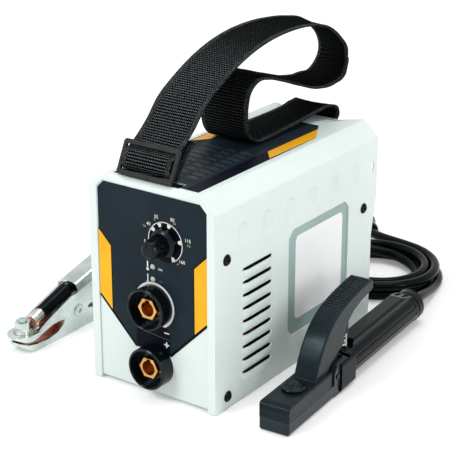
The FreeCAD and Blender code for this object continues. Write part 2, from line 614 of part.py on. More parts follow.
panel_holes.append(rod("y", s.knob_x, 0, s.knob_z, s.pot_bush / 2 + s.panel_fit, 8))
node("front_panel", cut(fuse(*panel_parts), *panel_holes, tapped[0], tapped[1]))

rear_back = rear_panel_y + s.sheet
rear_plate = prism(gable(tray_half, base_top, rear_panel_top_z - s.rear_panel_cut_z,
                         tray_half - s.rear_panel_cut_x, rear_panel_top_z), "xz", rear_panel_y, s.sheet)
rear_parts = [rear_plate]
for left in (-tray_half, tray_half - s.sheet):
    rear_parts.append(block(left, rear_flange_y, base_top + s.base_flange_top_z, s.sheet,
                            rear_back - rear_flange_y, panel_flange_top_z - base_top - s.base_flange_top_z))
rear_parts.append(block(-narrow, rear_flange_y, base_top, narrow * 2, rear_back - rear_flange_y, s.sheet))
rear_holes = [rod("y", 0, rear_panel_y - 2, s.fan_z, s.fan_hole_radius, s.sheet + 4)]
fan_spots = [(x * s.fan_screw_offset, s.fan_z + z * s.fan_screw_offset) for x in (-1, 1) for z in (-1, 1)]
rear_holes += [rod("y", x, rear_panel_y - 2, z, s.fan_screw / 2 + s.panel_fit, s.sheet + 4) for x, z in fan_spots]
rear_holes.append(rod("y", s.gland_x, rear_panel_y - 2, gland_z, s.gland_thread_radius + s.panel_fit,
                      s.sheet + 4))
switch_half = s.switch_width / 2
switch_tall = s.switch_height / 2
rear_holes.append(block(s.switch_x - switch_half - s.panel_fit, rear_panel_y - 2,
                        switch_z - switch_tall - s.panel_fit, s.switch_width + s.panel_fit * 2, s.sheet + 4,
                        s.switch_height + s.panel_fit * 2))
node("rear_panel", cut(fuse(*rear_parts), *rear_holes, tapped[3]))

# Printed films: the front decal, the roof label and the two badge plates.
decal_half = s.decal_half_width
decal = prism([(-s.decal_foot_half, s.decal_foot_z), (s.decal_foot_half, s.decal_foot_z),
               (decal_half, s.decal_shoulder_z), (decal_half, s.decal_top_z - s.decal_cut),
               (decal_half - s.decal_cut, s.decal_top_z), (-decal_half + s.decal_cut, s.decal_top_z),
               (-decal_half, s.decal_top_z - s.decal_cut), (-decal_half, s.decal_shoulder_z)],
              "xz", s.panel_front_y - s.film, s.film)
decal_holes = [rod("y", s.socket_x, -4, z, s.collar_radius + s.panel_fit, 8) for z in socket_spots]
decal_holes += [rod("y", s.lamp_x, -4, z, s.lamp_diameter / 2 + s.panel_fit, 8) for z in lamp_spots]
decal_holes.append(rod("y", s.knob_x, -4, s.knob_z, s.pot_bush / 2 + s.panel_fit, 8))
node("front_decal", cut(decal, *decal_holes))

label = prism([(-s.label_half_width, s.label_front_y), (s.label_half_width, s.label_front_y),
               (s.label_half_width, s.label_mid_y), (s.label_rear_half, s.label_rear_y),
               (-s.label_rear_half, s.label_rear_y), (-s.label_half_width, s.label_mid_y)],
              "xy", s.case_height, s.film)
node("top_label", cut(label, block(-s.slot_left - 2, s.slot_front_y - 2, s.case_height - 1,
                                   s.slot_left + s.slot_right + 2.6, s.slot_rear_y - s.slot_front_y + 2.6, 3)))

badges = slab_each_side(badge_outline(-s.badge_gap), half - s.recess_depth, s.badge_thickness)
node("badge_plates", *badges)

# Current control: knob, potentiometer with its shaft and nut.
film_front_y = s.panel_front_y - s.film
knob_back_y = film_front_y - s.knob_gap
knob_front_y = knob_back_y - s.knob_length
knob_turned = lathe("y", s.knob_x, 0, s.knob_z, [
    (0, knob_back_y), (s.knob_skirt_radius, knob_back_y), (s.knob_skirt_radius, knob_back_y - s.knob_skirt_length),
    (s.knob_skirt_radius - 1, knob_back_y - s.knob_skirt_length - 1),
    (s.knob_grip_radius + 0.4, knob_back_y - s.knob_skirt_length - 2.2),
    (s.knob_cap_radius + 0.5, knob_front_y + 2), (s.knob_cap_radius - 0.2, knob_front_y + 0.6),
    (s.knob_cap_radius - 1.2, knob_front_y), (0, knob_front_y)])
flutes = []
for k in range(whole(s.knob_flutes)):
    angle = 2 * math.pi * (k + 0.5) / whole(s.knob_flutes)
    reach = s.knob_grip_radius - s.knob_flute_radius * 0.3
    flutes.append(rod("y", s.knob_x + reach * math.sin(angle), knob_front_y - 1,
                      s.knob_z + reach * math.cos(angle), s.knob_flute_radius,
                      s.knob_length - s.knob_skirt_length - 1.5))
cavity = rod("y", s.knob_x, knob_back_y - s.knob_cavity_depth, s.knob_z, s.knob_cavity_radius,
             s.knob_cavity_depth + 1)
shaft_radius = s.pot_shaft / 2
bore = rod("y", s.knob_x, knob_back_y - s.knob_bore_depth, s.knob_z, shaft_radius, s.knob_bore_depth + 1)
rest_turn = math.radians(s.knob_rest_turn.value)
mark = add("Part::Box", "mark")
bind(mark, "Length", s.knob_mark_width)
bind(mark, "Width", s.knob_mark_depth + 2)
bind(mark, "Height", s.knob_cap_radius)
mark_turn = FreeCAD.Rotation(FreeCAD.Vector(0, 1, 0), s.knob_rest_turn.value)
put(mark, s.knob_x + s.knob_mark_width * (-math.cos(rest_turn) / 2) + s.knob_cap_radius * 0.25 * math.sin(rest_turn),
    origin_y + knob_front_y - 2, s.knob_z + s.knob_cap_radius * 0.25 * math.cos(rest_turn), mark_turn)
node("current_knob", cut(knob_turned, *flutes, cavity, bore, mark))

shaft_end_y = knob_back_y - s.knob_bore_depth
control_y = panel_back + s.pot_body_depth
bush_radius = s.pot_bush / 2
shaft_tail_y = panel_back + s.pot_body_depth - 3
shaft = rod("y", s.knob_x, shaft_end_y, s.knob_z, shaft_radius, shaft_tail_y - shaft_end_y)
node("potentiometer_shaft", shaft)
pot = fuse(rod("y", s.knob_x, panel_back, s.knob_z, s.pot_body / 2, s.pot_body_depth),
           rod("y", s.knob_x, s.pot_bush_front_y, s.knob_z, bush_radius, panel_back - s.pot_bush_front_y + 1))
pot_bore = rod("y", s.knob_x, s.pot_bush_front_y - 1, s.knob_z, shaft_radius + s.shaft_fit,
               shaft_tail_y - s.pot_bush_front_y + 1 + s.shaft_fit)
node("potentiometer", cut(pot, pot_bore))
pot_nut_radius = s.pot_nut_across / 2 / math.cos(math.pi / 6)
pot_nut = hexagon("y", s.knob_x, film_front_y - s.pot_nut_height, s.knob_z, pot_nut_radius, s.pot_nut_height)
node("potentiometer_nut", cut(pot_nut, rod("y", s.knob_x, film_front_y - s.pot_nut_height - 1, s.knob_z,
                                           bush_radius + s.thread_fit, s.pot_nut_height + 2)))

# Two lamps: light pipes from the board to the panel.
lamps = []
lamp_radius = s.lamp_diameter / 2
for z in lamp_spots:
    front_y = film_front_y - s.lamp_proud
    lamps.append(lathe("y", s.lamp_x, 0, z, [
        (0, front_y), (lamp_radius * 0.5, front_y + lamp_radius * 0.13),
        (lamp_radius * 0.87, front_y + lamp_radius * 0.5), (lamp_radius, front_y + lamp_radius),
        (lamp_radius, panel_back), (s.lamp_collar / 2, panel_back), (s.lamp_collar / 2, panel_back + 1.5),
        (lamp_radius * 0.8, panel_back + 1.5), (lamp_radius * 0.8, control_y), (0, control_y)]))
node("indicator_lenses", *lamps)

# Output sockets: insulating collars, brass contacts and the lock nuts behind the panel.
collars = []
contacts = []
lock_nuts = []
for z in socket_spots:
    body = lathe("y", s.socket_x, 0, z, [
        (s.contact_stem_radius, s.collar_floor_y), (s.collar_inner, s.collar_floor_y),
        (s.collar_inner, s.collar_rim_y + s.collar_edge / 2), (s.collar_inner + s.collar_edge / 2, s.collar_rim_y),
        (s.collar_radius - s.collar_edge, s.collar_rim_y), (s.collar_radius, s.collar_rim_y + s.collar_edge),
        (s.collar_radius, s.panel_front_y), (s.collar_bush_radius, s.panel_front_y),
        (s.collar_bush_radius, s.collar_bush_y), (s.contact_stem_radius, s.collar_bush_y)])
    collars.append(body)
    hexed = hexagon("y", s.socket_x, s.contact_front_y, z, s.contact_hex_radius,
                    s.collar_floor_y - s.contact_front_y, 0.0)
    stem = rod("y", s.socket_x, s.contact_front_y + 1, z, s.contact_stem_radius,
               s.contact_stem_y - s.contact_front_y - 1)
    bore_radius = s.contact_bore / 2
    stem_only = cut(stem, block(s.socket_x - 20, s.contact_front_y - 1, z - 20, 40,
                                s.collar_floor_y - s.contact_front_y + 1, 40))
    stud = rod("y", s.socket_x, s.contact_stem_y - 1, z, s.contact_stud_radius, s.contact_stud_y - s.contact_stem_y + 1)
    hollowed = [rod("y", s.socket_x, s.contact_front_y - 1, z, bore_radius, s.contact_bore_depth + 1),
                block(s.socket_x - s.contact_key_width / 2, s.contact_front_y - 1, z, s.contact_key_width,
                      s.contact_bore_depth * 0.7, s.contact_key_reach)]
    contacts.append(cut(fuse(hexed, stem_only, stud), *hollowed))
    nut = hexagon("y", s.socket_x, panel_back, z, s.lock_nut_radius, s.lock_nut_height)
    lock_nuts.append(cut(nut, rod("y", s.socket_x, panel_back - 1, z, s.collar_bush_radius + s.thread_fit,
                                  s.lock_nut_height + 2)))
node("socket_collars", *collars)
node("socket_contacts", *contacts)
node("socket_nuts", *lock_nuts)

# Mains switch on the rear panel: a rocker on two trunnions inside a snap-in housing.
bezel_low_x = s.switch_x - switch_half - s.switch_bezel
bezel_low_z = switch_z - switch_tall - s.switch_bezel
housing = fuse(
    block(bezel_low_x, rear_back, bezel_low_z, s.switch_width + s.switch_bezel * 2, s.switch_bezel_height,
          s.switch_height + s.switch_bezel * 2),
    block(s.switch_x - switch_half, rear_back - s.switch_depth, switch_z - switch_tall, s.switch_width,
          s.switch_depth + s.switch_bezel_height, s.switch_height))
well_half = switch_half - s.switch_wall
well_tall = switch_tall - s.switch_wall
well_floor = rear_back - s.switch_depth + s.switch_wall
pivot_y = rear_back - s.switch_pivot_inset
pin_radius = s.rocker_pin / 2
well = block(s.switch_x - well_half, well_floor, switch_z - well_tall, well_half * 2, s.switch_depth + 4,
             well_tall * 2)
pin_bore = rod("x", s.switch_x - switch_half + s.switch_wall * 0.3, pivot_y, switch_z,
               pin_radius + s.shaft_fit, (switch_half - s.switch_wall * 0.3) * 2)
node("mains_switch_housing", cut(housing, well, pin_bore))

tilt = math.radians(s.rocker_tilt.value)
rocker_half = well_tall - s.rocker_gap * 2
face_y = rear_back + s.switch_bezel_height
rocker_profile = []
for u, v in ((-1.0, s.rocker_rise), (-0.5, s.rocker_rise * 0.45), (0.0, s.rocker_rise * 0.2),
             (0.5, s.rocker_rise * 0.45), (1.0, s.rocker_rise), (0.93, -s.switch_bezel_height - 3),
             (0.5, -s.switch_bezel_height - 7), (-0.5, -s.switch_bezel_height - 7),
             (-0.93, -s.switch_bezel_height - 3)):
    along = rocker_half * (u * 0.96)
    out = face_y + v - pivot_y
    y = pivot_y + out * math.cos(tilt) - along * math.sin(tilt)
    z = switch_z + along * math.cos(tilt) + out * math.sin(tilt)
    rocker_profile.append((y, z))
rocker = prism(rocker_profile, "yz", s.switch_x - well_half + s.rocker_gap, (well_half - s.rocker_gap) * 2)
trunnions = rod("x", s.switch_x - switch_half + s.switch_wall * 0.5, pivot_y, switch_z, pin_radius,
                (switch_half - s.switch_wall * 0.5) * 2)
node("mains_switch_rocker", fuse(rocker, trunnions))

# Cable gland for the mains lead.
gland_front = rear_back + s.gland_flange_height
gland_end = gland_front + s.gland_cap_length
gland = fuse(
    hexagon("y", s.gland_x, rear_back, gland_z, s.gland_flange_radius, s.gland_flange_height),
    lathe("y", s.gland_x, 0, gland_z, [
        (0, gland_front), (s.gland_cap_radius, gland_front), (s.gland_cap_radius, gland_end - 6),
        (s.gland_cap_radius - 1, gland_end - 3), (s.gland_cap_radius - 3.4, gland_end), (0, gland_end)]),
    rod("y", s.gland_x, rear_back - s.gland_inner_length, gland_z, s.gland_thread_radius,
        s.gland_inner_length + 1))
ribs = []
for k in range(12):
    angle = 2 * math.pi * k / 12
    reach = s.gland_cap_radius + 0.6
    ribs.append(rod("y", s.gland_x + reach * math.cos(angle), gland_front - 1 + 2, gland_z + reach * math.sin(angle),
                    1.3, s.gland_cap_length))
node("cable_gland_body", cut(gland, rod("y", s.gland_x, rear_back - s.gland_inner_length - 1, gland_z,
                                        s.gland_bore_radius, s.gland_inner_length + gland_end - rear_back + 2),
                             *ribs))
gland_nut = hexagon("y", s.gland_x, rear_panel_y - s.gland_nut_height, gland_z, s.gland_nut_radius,
                    s.gland_nut_height)
node("cable_gland_nut", cut(gland_nut, rod("y", s.gland_x, rear_panel_y - s.gland_nut_height - 1, gland_z,
                                           s.gland_thread_radius + s.thread_fit, s.gland_nut_height + 2)))

# Cooling fan, its rotor, the wire guard and the four screws.
fan_front_y = rear_panel_y - s.fan_depth
fan_half = s.fan_size / 2
fan_box = block(-fan_half, fan_front_y, s.fan_z - fan_half, s.fan_size, s.fan_depth, s.fan_size)
fan_box = soften(fan_box, Size(4.0), lambda e: runs_along(e, "y"))
waist = lathe("y", 0, 0, s.fan_z, [
    (s.fan_bore_radius + 2.6, fan_front_y + 4), (fan_half * 1.6, fan_front_y + 4),
    (fan_half * 1.6, rear_panel_y - 4), (s.fan_bore_radius + 2.6, rear_panel_y - 4)])
fan_ring = cut(fan_box, rod("y", 0, fan_front_y - 1, s.fan_z, s.fan_bore_radius, s.fan_depth + 2), waist)
fan_plate_y = rear_panel_y - s.fan_plate
spokes = []
for k in range(4):
    spoke = add("Part::Box", "spoke")
    bind(spoke, "Length", s.fan_bore_radius + 1 - s.fan_hub_radius * 0.5)
    bind(spoke, "Width", s.fan_plate)
    bind(spoke, "Height", s.fan_spoke)
    angle = math.radians(45 + 90 * k)
    turn = FreeCAD.Rotation(FreeCAD.Vector(0, 1, 0), -math.degrees(angle))
    start = s.fan_hub_radius * 0.5
    put(spoke, start * math.cos(angle) + s.fan_spoke * (math.sin(angle) / 2), origin_y + fan_plate_y,
        s.fan_z + start * math.sin(angle) - s.fan_spoke * (math.cos(angle) / 2), turn)
    spokes.append(spoke)
post_front_y = fan_front_y + 7
fan_shaft_radius = s.fan_shaft / 2
fan_frame = fuse(fan_ring, rod("y", 0, fan_plate_y, s.fan_z, s.fan_hub_radius, s.fan_plate), *spokes,
                 rod("y", 0, post_front_y, s.fan_z, s.fan_post_radius, fan_plate_y - post_front_y + 1))
fan_bores = [rod("y", x, fan_front_y - 1, z, s.fan_screw / 2 + s.thread_fit, s.fan_depth + 2) for x, z in fan_spots]
fan_bores.append(rod("y", 0, post_front_y - 1, s.fan_z, fan_shaft_radius + s.shaft_fit,
                     fan_plate_y - post_front_y + 1))
node("fan_frame", cut(fan_frame, *fan_bores))

hub_front_y = fan_front_y + 1.5
hub_rear_y = fan_plate_y - 0.8
hub = lathe("y", 0, 0, s.fan_z, [
    (0, hub_front_y), (s.fan_hub_radius - 1, hub_front_y), (s.fan_hub_radius, hub_front_y + 1),
    (s.fan_hub_radius, hub_rear_y), (s.fan_hub_radius - s.fan_hub_wall, hub_rear_y),
    (s.fan_hub_radius - s.fan_hub_wall, hub_front_y + s.fan_hub_wall),
    (fan_shaft_radius, hub_front_y + s.fan_hub_wall), (fan_shaft_radius, fan_plate_y - 2),
    (0, fan_plate_y - 2)])
blades = []
blade_mid_y = (hub_front_y + hub_rear_y) / 2
for k in range(whole(s.fan_blades)):
    blade = add("Part::Box", "blade")
    bind(blade, "Length", s.fan_blade_tip - s.fan_hub_radius + 0.8)
    bind(blade, "Width", s.fan_blade_width)
    bind(blade, "Height", s.fan_blade_thickness)
    angle = 2 * math.pi * k / whole(s.fan_blades)
    lean = FreeCAD.Rotation(FreeCAD.Vector(1, 0, 0), s.fan_blade_tilt.value)
    around = FreeCAD.Rotation(FreeCAD.Vector(0, 1, 0), -math.degrees(angle))
    turn = around.multiply(lean)
    local = [s.fan_hub_radius - 0.8, s.fan_blade_width / -2, s.fan_blade_thickness / -2]
    columns = [turn.multVec(AXES[letter]) for letter in "xyz"]
    place = [sum((local[k2] * getattr(columns[k2], letter) for k2 in range(3)), Size(0, "0")) for letter in "xyz"]
    put(blade, place[0], origin_y + blade_mid_y + place[1], s.fan_z + place[2], turn)
    blades.append(blade)
node("fan_rotor", fuse(hub, *blades))

guard_y = rear_back + s.guard_stand
wire = s.guard_wire / 2
guard_parts = [hoop("y", 0, guard_y, s.fan_z, s.guard_ring_step * k, wire) for k in range(1, 5)]
for k in range(4):
    angle = math.radians(45 + 90 * k)
    inner = s.guard_ring_step
    outer = s.fan_screw_offset * math.sqrt(2) - inner
    spoke = add("Part::Cylinder", "wire")
    bind(spoke, "Radius", wire)
    bind(spoke, "Height", outer)
    turn = FreeCAD.Rotation(AXES["z"], FreeCAD.Vector(math.cos(angle), 0, math.sin(angle)))
    put(spoke, inner * math.cos(angle), origin_y + guard_y, s.fan_z + inner * math.sin(angle), turn)
    guard_parts.append(spoke)
for x, z in fan_spots:
    guard_parts.append(rod("y", x, rear_back, z, s.guard_ear, s.guard_stand + wire))
guard = cut(fuse(*guard_parts),
            *[rod("y", x, rear_back - 1, z, s.fan_screw / 2 + s.panel_fit, s.guard_stand + wire + 2)
              for x, z in fan_spots],
            *[rod("y", x, rear_back + s.guard_ear_plate, z, s.fan_screw_head / 2 + s.panel_fit, 8)
              for x, z in fan_spots])
node("fan_guard", guard)

fan_screws = []
for x, z in fan_spots:
    under_y = rear_back + s.guard_ear_plate
    head = s.fan_screw_head / 2
    top_y = under_y + s.fan_screw_head_height
    turned = lathe("y", x, 0, z, [
        (0, under_y - s.fan_screw_length), (s.fan_screw / 2, under_y - s.fan_screw_length),
        (s.fan_screw / 2, under_y), (head, under_y), (head * 0.9, top_y - 0.8), (head * 0.5, top_y), (0, top_y)])
    long = head * 1.2
    fan_screws.append(cut(turned,
                          block(x - long / 2, top_y - 0.9, z - 0.5, long, 2, 1),
                          block(x - 0.5, top_y - 0.9, z - long / 2, 1, 2, long)))
node("fan_screws", *fan_screws)

# Power board on its standoffs, with the parts that stand on it.
board_top = s.board_z + s.board_thickness
node("power_board", block(-s.board_half_width, s.board_front_y, s.board_z, s.board_half_width * 2,
                          s.board_rear_y - s.board_front_y, s.board_thickness))
standoffs = []
for x in (-s.standoff_x, s.standoff_x):
    for y in (s.board_front_y + 12, (s.board_front_y + s.board_rear_y) / 2, s.board_rear_y - 16):
        standoffs.append(rod("z", x, y, base_top, s.standoff_diameter / 2, s.board_z - base_top))
node("board_standoffs", *standoffs)

sinks = []
transistors = []
for side in (1, -1):
    near_x = side * s.sink_x
    base_x = near_x if side > 0 else near_x - s.sink_base
    sink_run = s.sink_rear_y - s.sink_front_y
    parts = [block(base_x, s.sink_front_y, board_top, s.sink_base, sink_run, s.sink_height)]
    fins = whole(s.sink_fins)
    for k in range(fins):
        fin_z = board_top + (s.sink_height - s.sink_fin) * k / (fins - 1)
        fin_x = base_x + s.sink_base / 2 if side > 0 else base_x - s.sink_width + s.sink_base
        parts.append(block(fin_x, s.sink_front_y, fin_z, s.sink_width - s.sink_base / 2, sink_run, s.sink_fin))
    sinks.append(fuse(*parts))
    for k in range(4):
        body_y = s.sink_front_y + 3 + s.transistor_pitch * k
        body_x = near_x - s.transistor_thickness if side > 0 else near_x
        body_z = board_top + 6
        package = block(body_x, body_y, body_z, s.transistor_thickness, s.transistor_width, s.transistor_height)
        legs = [block(body_x + s.transistor_thickness / 2 - s.transistor_lead / 2,
                      body_y + s.transistor_width / 2 - s.transistor_lead / 2 + 5.45 * step, board_top,
                      s.transistor_lead, s.transistor_lead, 7) for step in (-1, 0, 1)]
        transistors.append(fuse(package, *legs))
node("heat_sinks", *sinks)
node("power_transistors", *transistors)

capacitors = []
for column in (-1, 0, 1):
    x = s.capacitor_pitch * column
    wide = s.capacitor_diameter / 2
    top = board_top + s.capacitor_height
    capacitors.append(lathe("z", x, s.capacitor_y, 0, [
        (0, board_top), (wide, board_top), (wide, board_top + 3), (wide - 0.8, board_top + 4),
        (wide, board_top + 5), (wide, top - 1), (wide - 1, top), (wide - 3, top), (wide - 3, top - 0.6), (0, top - 0.6)]))
node("bus_capacitors", *capacitors)

core_left = s.core_x - s.core_width / 2
core_front = s.core_y - s.core_depth / 2 + 12
window = (s.core_width - s.core_limb * 4) / 2
core_block = block(core_left, core_front, board_top, s.core_width, s.core_depth, s.core_height)
windows = []
for left in (core_left + s.core_limb, core_left + s.core_limb * 3 + window):
    windows.append(block(left, core_front - 1, board_top + s.core_limb, window, s.core_depth + 2,
                         s.core_height - s.core_limb * 2))
node("transformer_core", cut(core_block, *windows))
gap = s.winding_gap
limb_left = core_left + s.core_limb + window
coil_low = board_top + s.core_limb + gap
coil_high = board_top + s.core_height - s.core_limb - gap
winding = block(limb_left - window + gap, core_front - s.winding_overhang, coil_low,
                s.core_limb * 2 + window * 2 - gap * 2, s.core_depth + s.winding_overhang * 2, coil_high - coil_low)
winding = soften(winding, Size(5.0), lambda e: runs_along(e, "z"))
node("transformer_winding", cut(winding, block(limb_left - gap, core_front - gap, coil_low - 1,
                                               s.core_limb * 2 + gap * 2, s.core_depth + gap * 2,
                                               coil_high - coil_low + 2)))
choke = hoop("x", s.choke_x, s.choke_y, board_top + s.choke_ring + s.choke_wire, s.choke_ring, s.choke_wire)
choke_foot = block(s.choke_x - s.choke_wire, s.choke_y - s.choke_ring * 0.7, board_top, s.choke_wire * 2,
                   s.choke_ring * 1.4, s.choke_wire)
node("output_choke", fuse(choke, choke_foot))

control = fuse(
    block(-s.control_half_width, control_y, s.control_low_z, s.control_half_width * 2, s.board_thickness,
          s.control_high_z - s.control_low_z),
    block(-34, control_y + 1, s.control_low_z + 12, 16, 12, 18),
    block(-8, control_y + 1, s.control_high_z - 16, 14, 4, 8),
    block(24, control_y + 1, s.control_low_z + 10, 10, 9, 20))
node("control_board", control)

busbars = []
for z in socket_spots:
    left = s.socket_x - s.busbar_width / 2
    upright = block(left, s.contact_stem_y, z - s.busbar_width / 2 - 3, s.busbar_width, s.busbar_thickness,
                    s.busbar_width + 3)
    foot = block(left, s.contact_stem_y, z - s.busbar_width / 2 - 3, s.busbar_width, s.busbar_run, s.busbar_thickness)
    busbars.append(cut(fuse(upright, foot), rod("y", s.socket_x, s.contact_stem_y - 1, z,
                                                s.contact_stud_radius + s.thread_fit, s.busbar_thickness + 2)))
node("output_busbars", *busbars)


# A route through corner points: straight runs joined by tangent arcs. Returns (kind, points) pieces.
def rounded(points, radii=None):
    points = [FreeCAD.Vector(*p) for p in points]
    pieces = []
    start = points[0]
    for k in range(1, len(points) - 1):
        before, here, after = points[k - 1], points[k], points[k + 1]
        one = before.sub(here)
        two = after.sub(here)
        shorter = min(one.Length, two.Length)
        one.normalize()
        two.normalize()
        half_turn = math.atan2(one.cross(two).Length, -one.dot(two)) / 2
        if half_turn < 1e-7:
            continue
        radius = (radii or {}).get(k, 0.45 * shorter / math.tan(half_turn))
        reach = radius * math.tan(half_turn)
        first = here.add(one.multiply(reach))
        last = here.add(two.multiply(reach))
        inward = first.add(last).multiply(0.5).sub(here)
        depth = radius / math.cos(half_turn)
        centre = here.add(FreeCAD.Vector(inward).normalize().multiply(depth))
        middle = centre.sub(FreeCAD.Vector(inward).normalize().multiply(radius))
        if start.distanceToPoint(first) > 1e-6:
            pieces.append(("line", [start, first]))
        pieces.append(("arc", [first, middle, last], centre, radius))
        start = last
    pieces.append(("line", [start, points[-1]]))
    return pieces


# A ribbon of constant thickness about a route in the y-z plane.
def ribbon_face(points, radii, thickness, x):
    pieces = rounded([(x, y, z) for y, z in points], radii)
    sides = []
    for sign in (1, -1):
        edges = []
        for piece in pieces:
            if piece[0] == "line":
                run = piece[1][1].sub(piece[1][0]).normalize()
                aside = FreeCAD.Vector(0, -run.z, run.y).multiply(sign * thickness / 2)
                edges.append(Part.LineSegment(piece[1][0].add(aside), piece[1][1].add(aside)).toShape())
            else:
                first, middle, last = piece[1]
                centre = piece[2]
                spin = first.sub(centre).cross(last.sub(centre)).x
                # Turning left puts the centre on the left, so the left side is the shorter arc.
                radius = piece[3] - sign * thickness / 2 * (1 if spin > 0 else -1)
                ends = [centre.add(p.sub(centre).normalize().multiply(radius)) for p in (first, middle, last)]
                edges.append(Part.Arc(*ends).toShape())
        sides.append(edges)
    cap_end = Part.LineSegment(sides[0][-1].Vertexes[-1].Point, sides[1][-1].Vertexes[-1].Point).toShape()
    cap_start = Part.LineSegment(sides[1][0].Vertexes[0].Point, sides[0][0].Vertexes[0].Point).toShape()
    wire = Part.Wire(sides[0] + [cap_end] + sides[1][::-1] + [cap_start])
    face = Part.Face(wire)
    if not face.isValid():
        raise RuntimeError("the ribbon's outline crosses itself")
    return face


# Carrying strap: anchored round the front bar, woven through the slider, over the top, folded back at the
# rear, tucked under itself and along the roof to the rear bar.
def on_slider(u, n):
    lean = math.radians(s.slider_lean.value)
    return (s.slider_y.value + u * math.sin(lean) - n * math.cos(lean),
            s.slider_rise.value + u * math.cos(lean) + n * math.sin(lean))


# Heights on the route are measured from the roof.
front_loop = -s.front_bar_drop.value - 3.5
rear_loop = -s.rear_bar_drop.value - 3.5
strap_route = [
    (19.4, 16.5), (15.5, -0.5), (15.5, front_loop), (8.5, front_loop), (8.5, 0.7), on_slider(-9.5, -2.5),
    on_slider(-5.0, 2.6), on_slider(5.0, 2.6), on_slider(9.5, -2.5), on_slider(17.0, -2.5),
    (38.0, 39.5), (56.0, 54.5), (80.0, 68.0), (105.0, 79.0), (130.0, 86.5), (157.0, 91.0), (189.0, 92.5),
    (216.0, 90.5), (243.0, 87.0), (272.0, 78.0), (291.0, 64.0), (297.0, 49.0), (289.0, 33.0),
    (270.0, 28.5), (250.0, 28.5), (225.0, 33.5), (192.0, 44.0), (170.0, 51.5), (150.0, 57.0), (133.0, 58.0),
    (122.0, 51.0), (117.5, 39.0), (117.0, 24.0), (119.0, 10.0), (128.0, 1.6),
    (179.0, 3.0), (207.0, 5.2), (232.0, 7.5), (243.0, 7.0), (249.0, 1.5), (249.0, rear_loop),
    (242.0, rear_loop), (242.0, -11.5), (246.0, -7.5)]
rear_corner = strap_route.index((249.0, rear_loop))
strap_radii = {2: 3.5, 3: 3.5, rear_corner: 3.5, rear_corner + 1: 3.5}
strap_outline = add("Part::Feature", "strap_outline")
shift_y = FRONT.value
roof_z = s.case_height.value
strap_outline.Shape = ribbon_face([(y + shift_y, roof_z + rise) for y, rise in strap_route], strap_radii,
                                  s.strap_thickness.value, s.strap_left.value)
node("strap_webbing", sweep_along(strap_outline, AXES["x"], s.strap_width))

origin_y = LOCAL
slide_half = s.slider_width / 2
slide_tall = s.slider_height / 2
slide_thick = s.slider_thickness / 2
frame = block(-slide_half, -slide_thick, -slide_tall, s.slider_width, s.slider_thickness, s.slider_height)
frame = soften(frame, Size(3.0), lambda e: runs_along(e, "y"))
open_half = slide_half - s.slider_rail
window_high = slide_tall - s.slider_bar
thin = s.slider_mid_thin / 2
slider_windows = [
    block(-open_half, -slide_thick - 1, s.slider_mid_half, open_half * 2, s.slider_thickness + 2,
          window_high - s.slider_mid_half),
    block(-open_half, -slide_thick - 1, -window_high, open_half * 2, s.slider_thickness + 2,
          window_high - s.slider_mid_half),
    block(-open_half, -slide_thick - 1, -s.slider_mid_half - 1, open_half * 2, slide_thick + 1 - thin,
          s.slider_mid_half * 2 + 2),
    block(-open_half, thin, -s.slider_mid_half - 1, open_half * 2, slide_thick + 1 - thin,
          s.slider_mid_half * 2 + 2)]
slider = cut(frame, *slider_windows)
slider_x = s.strap_left + s.strap_width / 2
origin_y = FRONT
slider_turn = FreeCAD.Rotation(AXES["x"], -s.slider_lean.value)
node("strap_slider", moved(slider, slider_x, FRONT + s.slider_y, slider_z, slider_turn))
bars = []
for left, right, bar_y, bar_z in bar_ends:
    bars.append(rod("x", left, bar_y, bar_z, s.bar_diameter / 2, right - left))
node("strap_anchor_bars", *bars)


# A closely drawn coil spring standing on z, its first and last turns closed.
def spring(x, y, low, high, radius, wire_diameter, turns):
    thick = wire_diameter.value / 2
    coil_r = radius.value
    low_z = low.value + thick
    high_z = high.value - thick
    count = whole(turns)
    steps = count * 8
    points = []
    tangents = []
    for k in range(steps + 1):
        part = k / steps
        turn = 2 * math.pi * count * part
        ease = 0.5 - 0.5 * math.cos(math.pi * part)
        slope = 0.5 * math.pi * math.sin(math.pi * part) * (high_z - low_z) / (2 * math.pi * count)
        blend = 0.35
        z = low_z + (high_z - low_z) * (blend * part + (1 - blend) * ease)
        rise = (blend * (high_z - low_z) / (2 * math.pi * count)) + (1 - blend) * slope
        points.append(FreeCAD.Vector(x.value + coil_r * math.cos(turn), (origin_y + y).value + coil_r * math.sin(turn), z))
        tangents.append(FreeCAD.Vector(-coil_r * math.sin(turn), coil_r * math.cos(turn), rise).normalize())
    return tube_through(points, tangents, thick)


# Two tangent arcs from one point and heading to another.
def biarc(start, start_dir, end, end_dir):
    chord = end.sub(start)
    both = start_dir.add(end_dir)
    a = both.dot(both) - 4
    b = -2 * chord.dot(both)
    c = chord.dot(chord)
    if abs(a) < 1e-9 * c:
        reach = -c / b
    else:
        reach = (-b - math.sqrt(b * b - 4 * a * c)) / (2 * a)
    knee_one = start.add(FreeCAD.Vector(start_dir).multiply(reach))
    knee_two = end.sub(FreeCAD.Vector(end_dir).multiply(reach))
    joint = knee_one.add(knee_two).multiply(0.5)
    edges = []
    for first, knee, last in ((start, knee_one, joint), (joint, knee_two, end)):
        mid = first.add(last).multiply(0.5)
        side = knee.sub(mid)
        span = last.sub(first).Length / 2
        if side.Length < 1e-4 * span:
            edges.append(Part.LineSegment(first, last).toShape())
        else:
            angle = math.atan2(side.Length, span)
            bulge = span * math.tan(angle / 2)
            peak = mid.add(FreeCAD.Vector(side).normalize().multiply(bulge))
            edges.append(Part.Arc(first, peak, last).toShape())
    return edges


